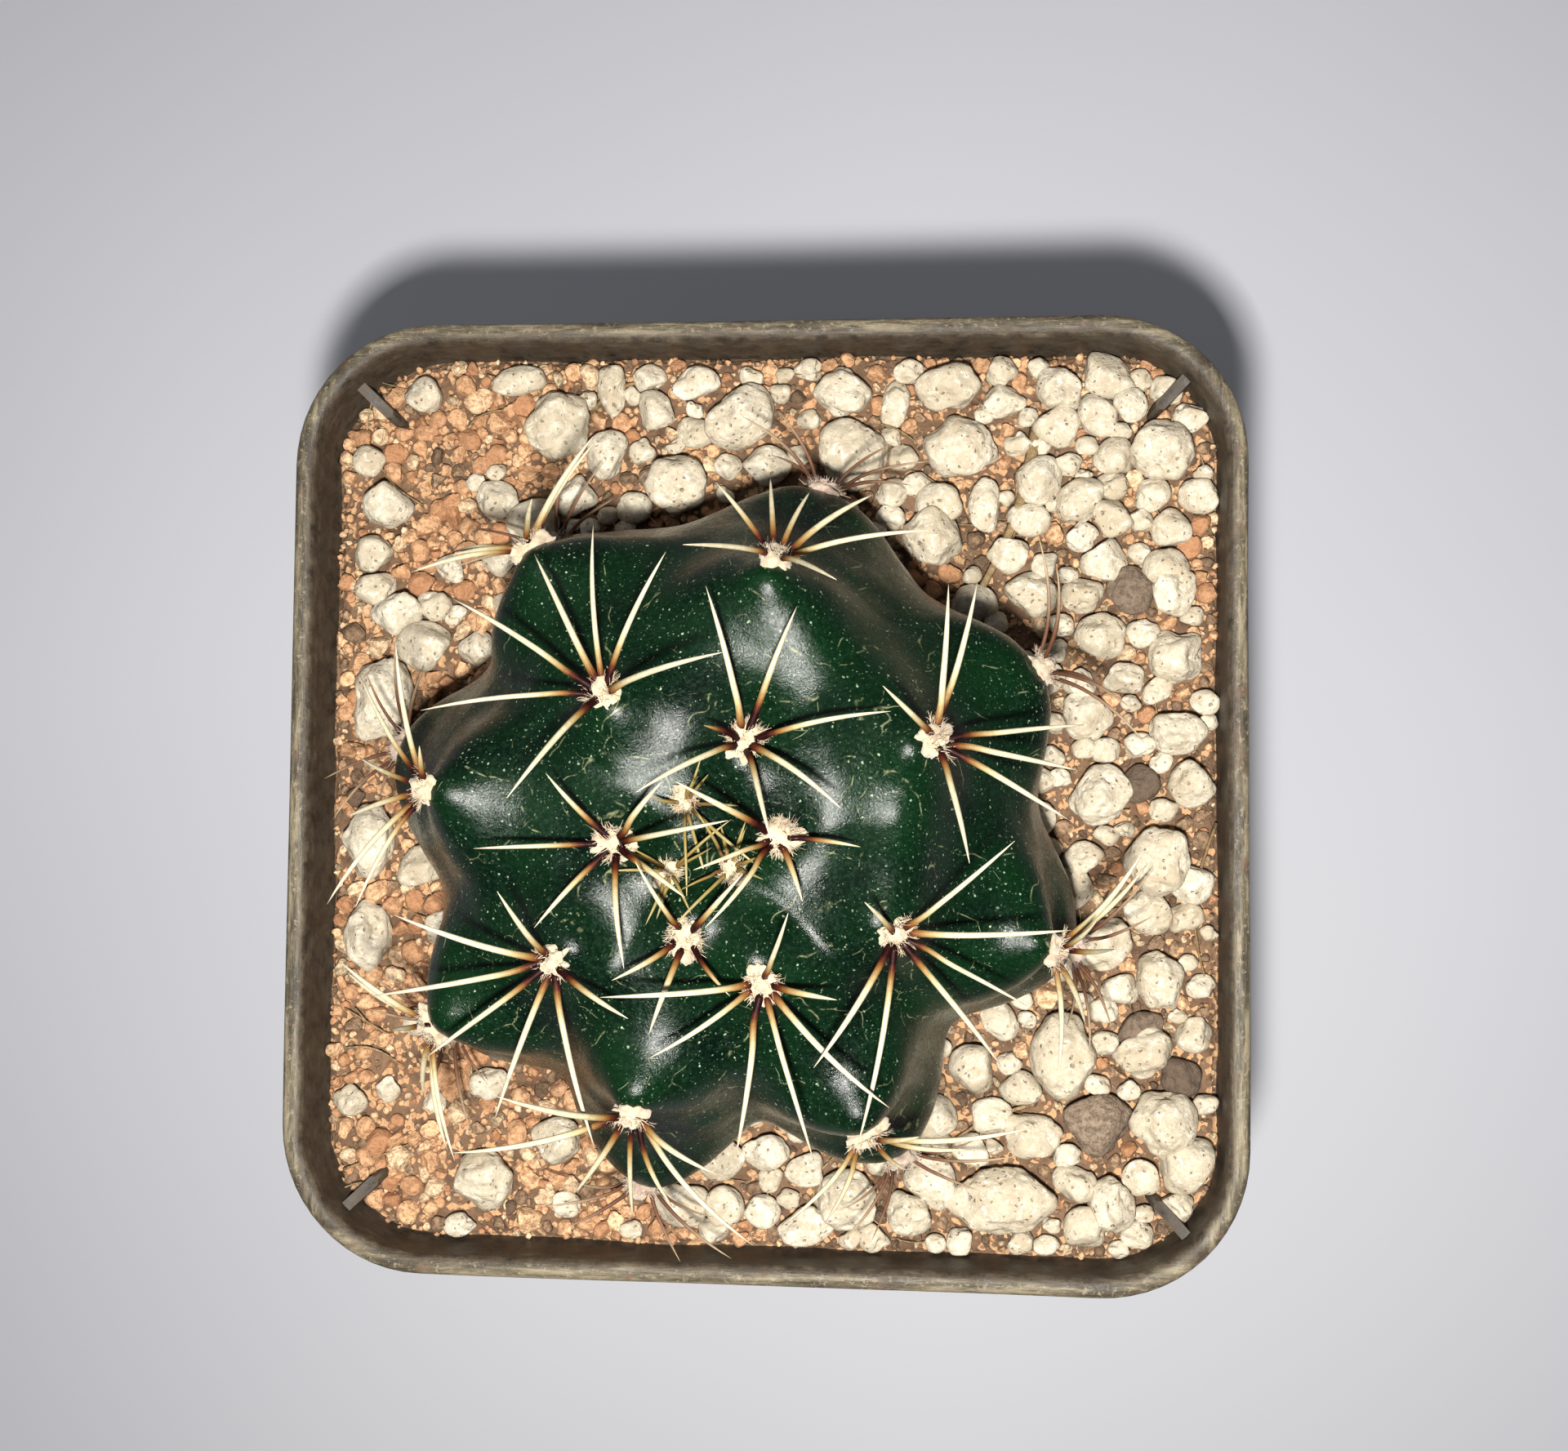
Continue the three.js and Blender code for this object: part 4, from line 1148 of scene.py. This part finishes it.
def build_grit(orange, soil, pumice, skin_points, boxes, small):
    rng = np.random.default_rng(77)
    in_body = body_reach_at_mix(skin_points)
    large = np.array([[*(low + high)[:2] / 2, *(high - low)[:2] / 2] for low, high in boxes])
    little = np.array([[x, y, w / 2, d / 2] for x, y, w, d in small])
    stones = np.concatenate([large * [1, 1, 0.94, 0.94], little * [1, 1, 0.92, 0.92]])

    def blocked(x, y, radius):
        if in_body(x, y, -0.8):
            return True
        reach = stones[:, 2:] + radius * 0.6
        away = np.linalg.norm((stones[:, :2] - [x, y]) / reach, axis=1)
        return bool((away < 1).any())

    def pumice_unwanted(x, y, radius):
        return blocked(x, y, radius) or rng.uniform() > pumice_share(x, y)

    gravel = scatter(rng, *GRAVEL, pumice_unwanted)
    shape = Shape()
    for x, y, size in gravel:
        form = np.array([size, size * rng.uniform(0.75, 1.0), size * rng.uniform(0.65, 0.85)])
        loose_stone(shape, rng, 4 if size > 2 else 3, x, y, MIX_TOP + 0.1 * size - 0.1, form, rounds=2)
    shape.piece("pumice_gravel", [pumice], "pumice")
    gravel_stones = gravel[:, [0, 1, 2, 2]] * [1, 1, 0.46, 0.42]
    stones = np.concatenate([stones, gravel_stones])

    def bare(x, y, radius):
        return blocked(x, y, radius) or soft_noise(np.array([x, y, 0.0]), 4.5, 8) > 0.42

    coarse = scatter(rng, *COARSE_GRIT, bare)
    fine = scatter(rng, *FINE_GRIT, blocked)
    for name, places, level in (("coarse", coarse, 3), ("fine", fine, 2)):
        kinds = grain_kinds(rng, level)
        picked = rng.uniform(0, 1, len(places)) < orange_share(places[:, 0], places[:, 1])
        for kind, chosen, material in (("clay", picked, orange), ("soil", ~picked, soil)):
            some = places[chosen] * [1, 1, 0.72 if kind == "soil" else 1]
            shape = Shape()
            heights = ground_height(some[:, 0], some[:, 1])
            add_grains(shape, rng, some, kinds, heights, 0.3)
            made = shape.piece(f"{kind}_grit_{name}", [material], "growing_mix")
            made.data.set_sharp_from_angle(angle=math.radians(32))


def build_straws(material):
    """Dry straws and root fibres lying on the growing mix."""
    rng = np.random.default_rng(5)
    shape = Shape()
    lines = [
        ((19.9, 27.4), (15.4, 14.6), 0.5),
        ((18.6, 24.0), (16.6, 17.2), 0.35),
        ((33.0, -1.5), (32.6, -14.0), 0.14),
        ((-13.5, 29.0), (-8.6, 31.4), 0.22),
        ((20.0, -22.0), (12.0, -27.0), 0.16),
    ]
    half = inside_at(MIX_TOP)[0] - 1.5
    for _ in range(STRAWS):
        x, y = rng.uniform(-half, half, 2)
        turn, length = rng.uniform(0, FULL_TURN), rng.uniform(1.5, 6)
        end = np.clip([x + length * math.cos(turn), y + length * math.sin(turn)], -half, half)
        lines.append(((x, y), tuple(end), rng.uniform(0.035, 0.11)))
    t = np.linspace(0, 1, STRAW_STEPS)
    paths, radii = [], []
    for start, end, radius in lines:
        start, end = np.array(start), np.array(end)
        flat = start + (end - start) * t[:, None]
        side = np.array([start[1] - end[1], end[0] - start[0]]) * rng.uniform(-0.16, 0.16)
        flat = flat + side * np.sin(t * math.pi)[:, None]
        z = ground_height(flat[:, 0], flat[:, 1]) + 0.5 + radius
        paths.append(np.column_stack([flat, z.mean() + 0.3 * np.sin(t * math.pi)]))
        radii.append(radius * (1 - 0.5 * t))
    points, quads, caps = tubes(np.array(paths), np.array(radii), STRAW_SIDES)
    tone = np.repeat(rng.uniform(0, 1, len(paths)), STRAW_STEPS * STRAW_SIDES)
    shape.add(points, quads, caps, tone=tone)
    shape.piece("straws", [material], "growing_mix")


def pumice_material():
    m = Material("pumice", Roughness=0.92, Specular_IOR_Level=0.25)
    tone = m.ramp(m.value("tone"), (0.0, (0.48, 0.42, 0.315)), (1.0, (0.66, 0.605, 0.49)))
    stain = m.ramp(m.noise(2.2, 5, 0.65), (0.42, 0.0), (0.66, 0.75))
    base = m.mix(stain, tone, (0.34, 0.26, 0.165))
    mottle = m.ramp(m.noise(0.4, 4, 0.7), (0.38, 0.0), (0.62, 0.75))
    base = m.mix(mottle, base, (0.37, 0.315, 0.225))
    light = m.ramp(m.noise(0.7, 4, 0.7, distortion=0.6), (0.55, 0.0), (0.68, 0.7))
    base = m.mix(light, base, (0.74, 0.695, 0.59))
    spots = m.cells(0.55, vector=m.bent(0.5, 0.5))
    shaded_holes = m.ramp(spots, (0.10, 1.0), (0.24, 0.0))
    shaded_holes = m.math("MULTIPLY", shaded_holes, m.ramp(m.noise(1.1, 3, 0.6), (0.44, 0.0), (0.54, 1.0)))
    # The holes are also painted darker: painted shade in the pits, on top of their bump.
    base = m.mix(m.math("MULTIPLY", shaded_holes, 0.5), base, (0.17, 0.12, 0.075))
    m.set(Base_Color=base)
    m.bump(shaded_holes, -0.2, 0.9)
    m.bump(m.noise(0.26, 4, 0.75), 0.13, 0.8)
    m.bump(m.cells(1.6, vector=m.bent(1.2, 0.8)), 0.35, 0.35)
    m.bump(m.noise(0.9, 3, 0.6), 0.3, 0.5)
    return m.material


def grit_material(name, dark, light, odd):
    m = Material(name, Roughness=0.9, Specular_IOR_Level=0.25)
    base = m.ramp(m.value("tone"), (0.0, dark), (0.8, light), (0.9, odd))
    mottle = m.ramp(m.noise(0.4, 4, 0.75), (0.42, 0.0), (0.6, 0.8))
    base = m.mix(mottle, base, tuple(c * 0.7 for c in dark))
    m.set(Base_Color=base)
    m.bump(m.noise(0.2, 3, 0.7), 0.07, 0.8)
    m.bump(m.noise(0.8, 4, 0.7), 0.35, 0.6)
    return m.material


def soil_material():
    m = Material("soil", Roughness=0.95, Specular_IOR_Level=0.2)
    base = m.ramp(m.noise(2.4, 5, 0.65), (0.3, (0.070, 0.041, 0.025)), (0.7, (0.20, 0.12, 0.070)))
    bits = m.cells(0.42, output="Color")
    pick = m.node("ShaderNodeSeparateColor", {0: bits}).outputs[0]
    base = m.mix(m.math("GREATER_THAN", pick, 0.75), base, (0.42, 0.25, 0.13))
    m.set(Base_Color=base)
    m.bump(m.cells(0.42), 0.22, 0.8)
    m.bump(m.noise(0.2, 3, 0.7), 0.1, 0.8)
    return m.material


# ---------------------------------------------------------------- put together
materials = {
    "pot": pot_material(),
    "skin": body_material(),
    "spines": [spine_material(), wool_material()],
    "pumice": pumice_material(),
    "clay": grit_material("clay_grit", (0.36, 0.175, 0.085), (0.68, 0.43, 0.24), (0.64, 0.50, 0.32)),
    "soil_grit": grit_material("soil_grit", (0.11, 0.070, 0.043), (0.36, 0.23, 0.135), (0.52, 0.40, 0.25)),
    "bark": grit_material("bark", (0.11, 0.077, 0.054), (0.28, 0.21, 0.15), (0.24, 0.17, 0.11)),
    "straw": grit_material("straw", (0.20, 0.13, 0.06), (0.36, 0.27, 0.14), (0.30, 0.2, 0.1)),
    "soil": soil_material(),
}
build_pot(materials["pot"])
clusters = {n: read_cluster(n) for n in sorted(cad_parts) if "spines" in n}
body, skin = build_body(materials["skin"], clusters)
for number, (node, (root, spines)) in enumerate(clusters.items()):
    place = int(node[-1])
    young = node.startswith("crown")
    size = 0.62 if young else (0.86 if place == 1 else 0.97)
    age = 0.0 if young else (0.3 if place == 1 else (0.5 if place == 2 else 1.0))
    rng = np.random.default_rng(100 + number)
    build_cluster(node, root, spines, skin, materials["spines"], size, age, rng)
boxes = build_stones(materials["pumice"])
small = build_small_stones(materials["pumice"], materials["bark"])
build_ground(materials["soil"])
skin_points = np.array([v.co for v in body.data.vertices]) / MM
build_grit(
    materials["clay"], materials["soil_grit"], materials["pumice"], skin_points, boxes, small
)
build_straws(materials["straw"])


# ---------------------------------------------------------------- floor, light and camera
def floor_material():
    m = Material("floor", Roughness=0.6, Specular_IOR_Level=0.3)
    base = m.ramp(m.noise(160, 2, 0.5), (0.3, (0.51, 0.52, 0.57)), (0.7, (0.57, 0.58, 0.62)))
    # The floor is painted darker towards the front (-Y): painted shade that evens out the stronger light
    # of the near key lamp there.
    depth = m.node("ShaderNodeSeparateXYZ", {0: m.place}).outputs["Y"]
    front = m.ramp(m.math("ADD", m.math("MULTIPLY", depth, 4.0), 0.5), (0.1, 0.84), (0.55, 1.0))
    m.set(Base_Color=m.mix(1.0, base, front, "MULTIPLY"))
    return m.material


def build_stage():
    bm = bmesh.new()
    bmesh.ops.create_grid(bm, x_segments=4, y_segments=4, size=1.5)
    mesh = bpy.data.meshes.new("floor")
    bm.to_mesh(mesh)
    bm.free()
    floor = bpy.data.objects.new("floor", mesh)
    bpy.context.scene.collection.objects.link(floor)
    mesh.materials.append(floor_material())


def area_light(name, place, target, size, power, colour):
    light = bpy.data.lights.new(name, "AREA")
    light.shape = "RECTANGLE"
    light.size, light.size_y = size
    light.energy = power
    light.color = colour
    made = bpy.data.objects.new(name, light)
    made.location = place
    made.rotation_mode = "QUATERNION"
    made.rotation_quaternion = (Vector(target) - Vector(place)).to_track_quat("-Z", "Y")
    bpy.context.scene.collection.objects.link(made)


build_stage()
area_light("key", (0.014, -0.021, 0.212), (0, 0, 0.06), (0.009, 0.009), 0.60, (1.0, 0.975, 0.93))
area_light("softbox", (-0.4, 0.3, 1.0), (0, 0, 0.05), (1.3, 1.3), 1.9, (0.98, 0.98, 1.0))

world = bpy.data.worlds.new("world")
bpy.context.scene.world = world
world.use_nodes = True
world.node_tree.nodes["Background"].inputs["Color"].default_value = (0.94, 0.95, 1.0, 1)
world.node_tree.nodes["Background"].inputs["Strength"].default_value = 0.09

bpy.context.scene.view_settings.view_transform = "Standard"

camera = bpy.data.objects.new("camera", bpy.data.cameras.new("camera"))
camera.data.lens = 45
camera.data.sensor_width = 36
camera.data.clip_start = 0.01
camera.location = (0.0169, -0.0008, 0.205)
camera.rotation_euler = [math.radians(angle) for angle in (2.506, 6.077, 0.634)]
bpy.context.scene.collection.objects.link(camera)
bpy.context.scene.camera = camera
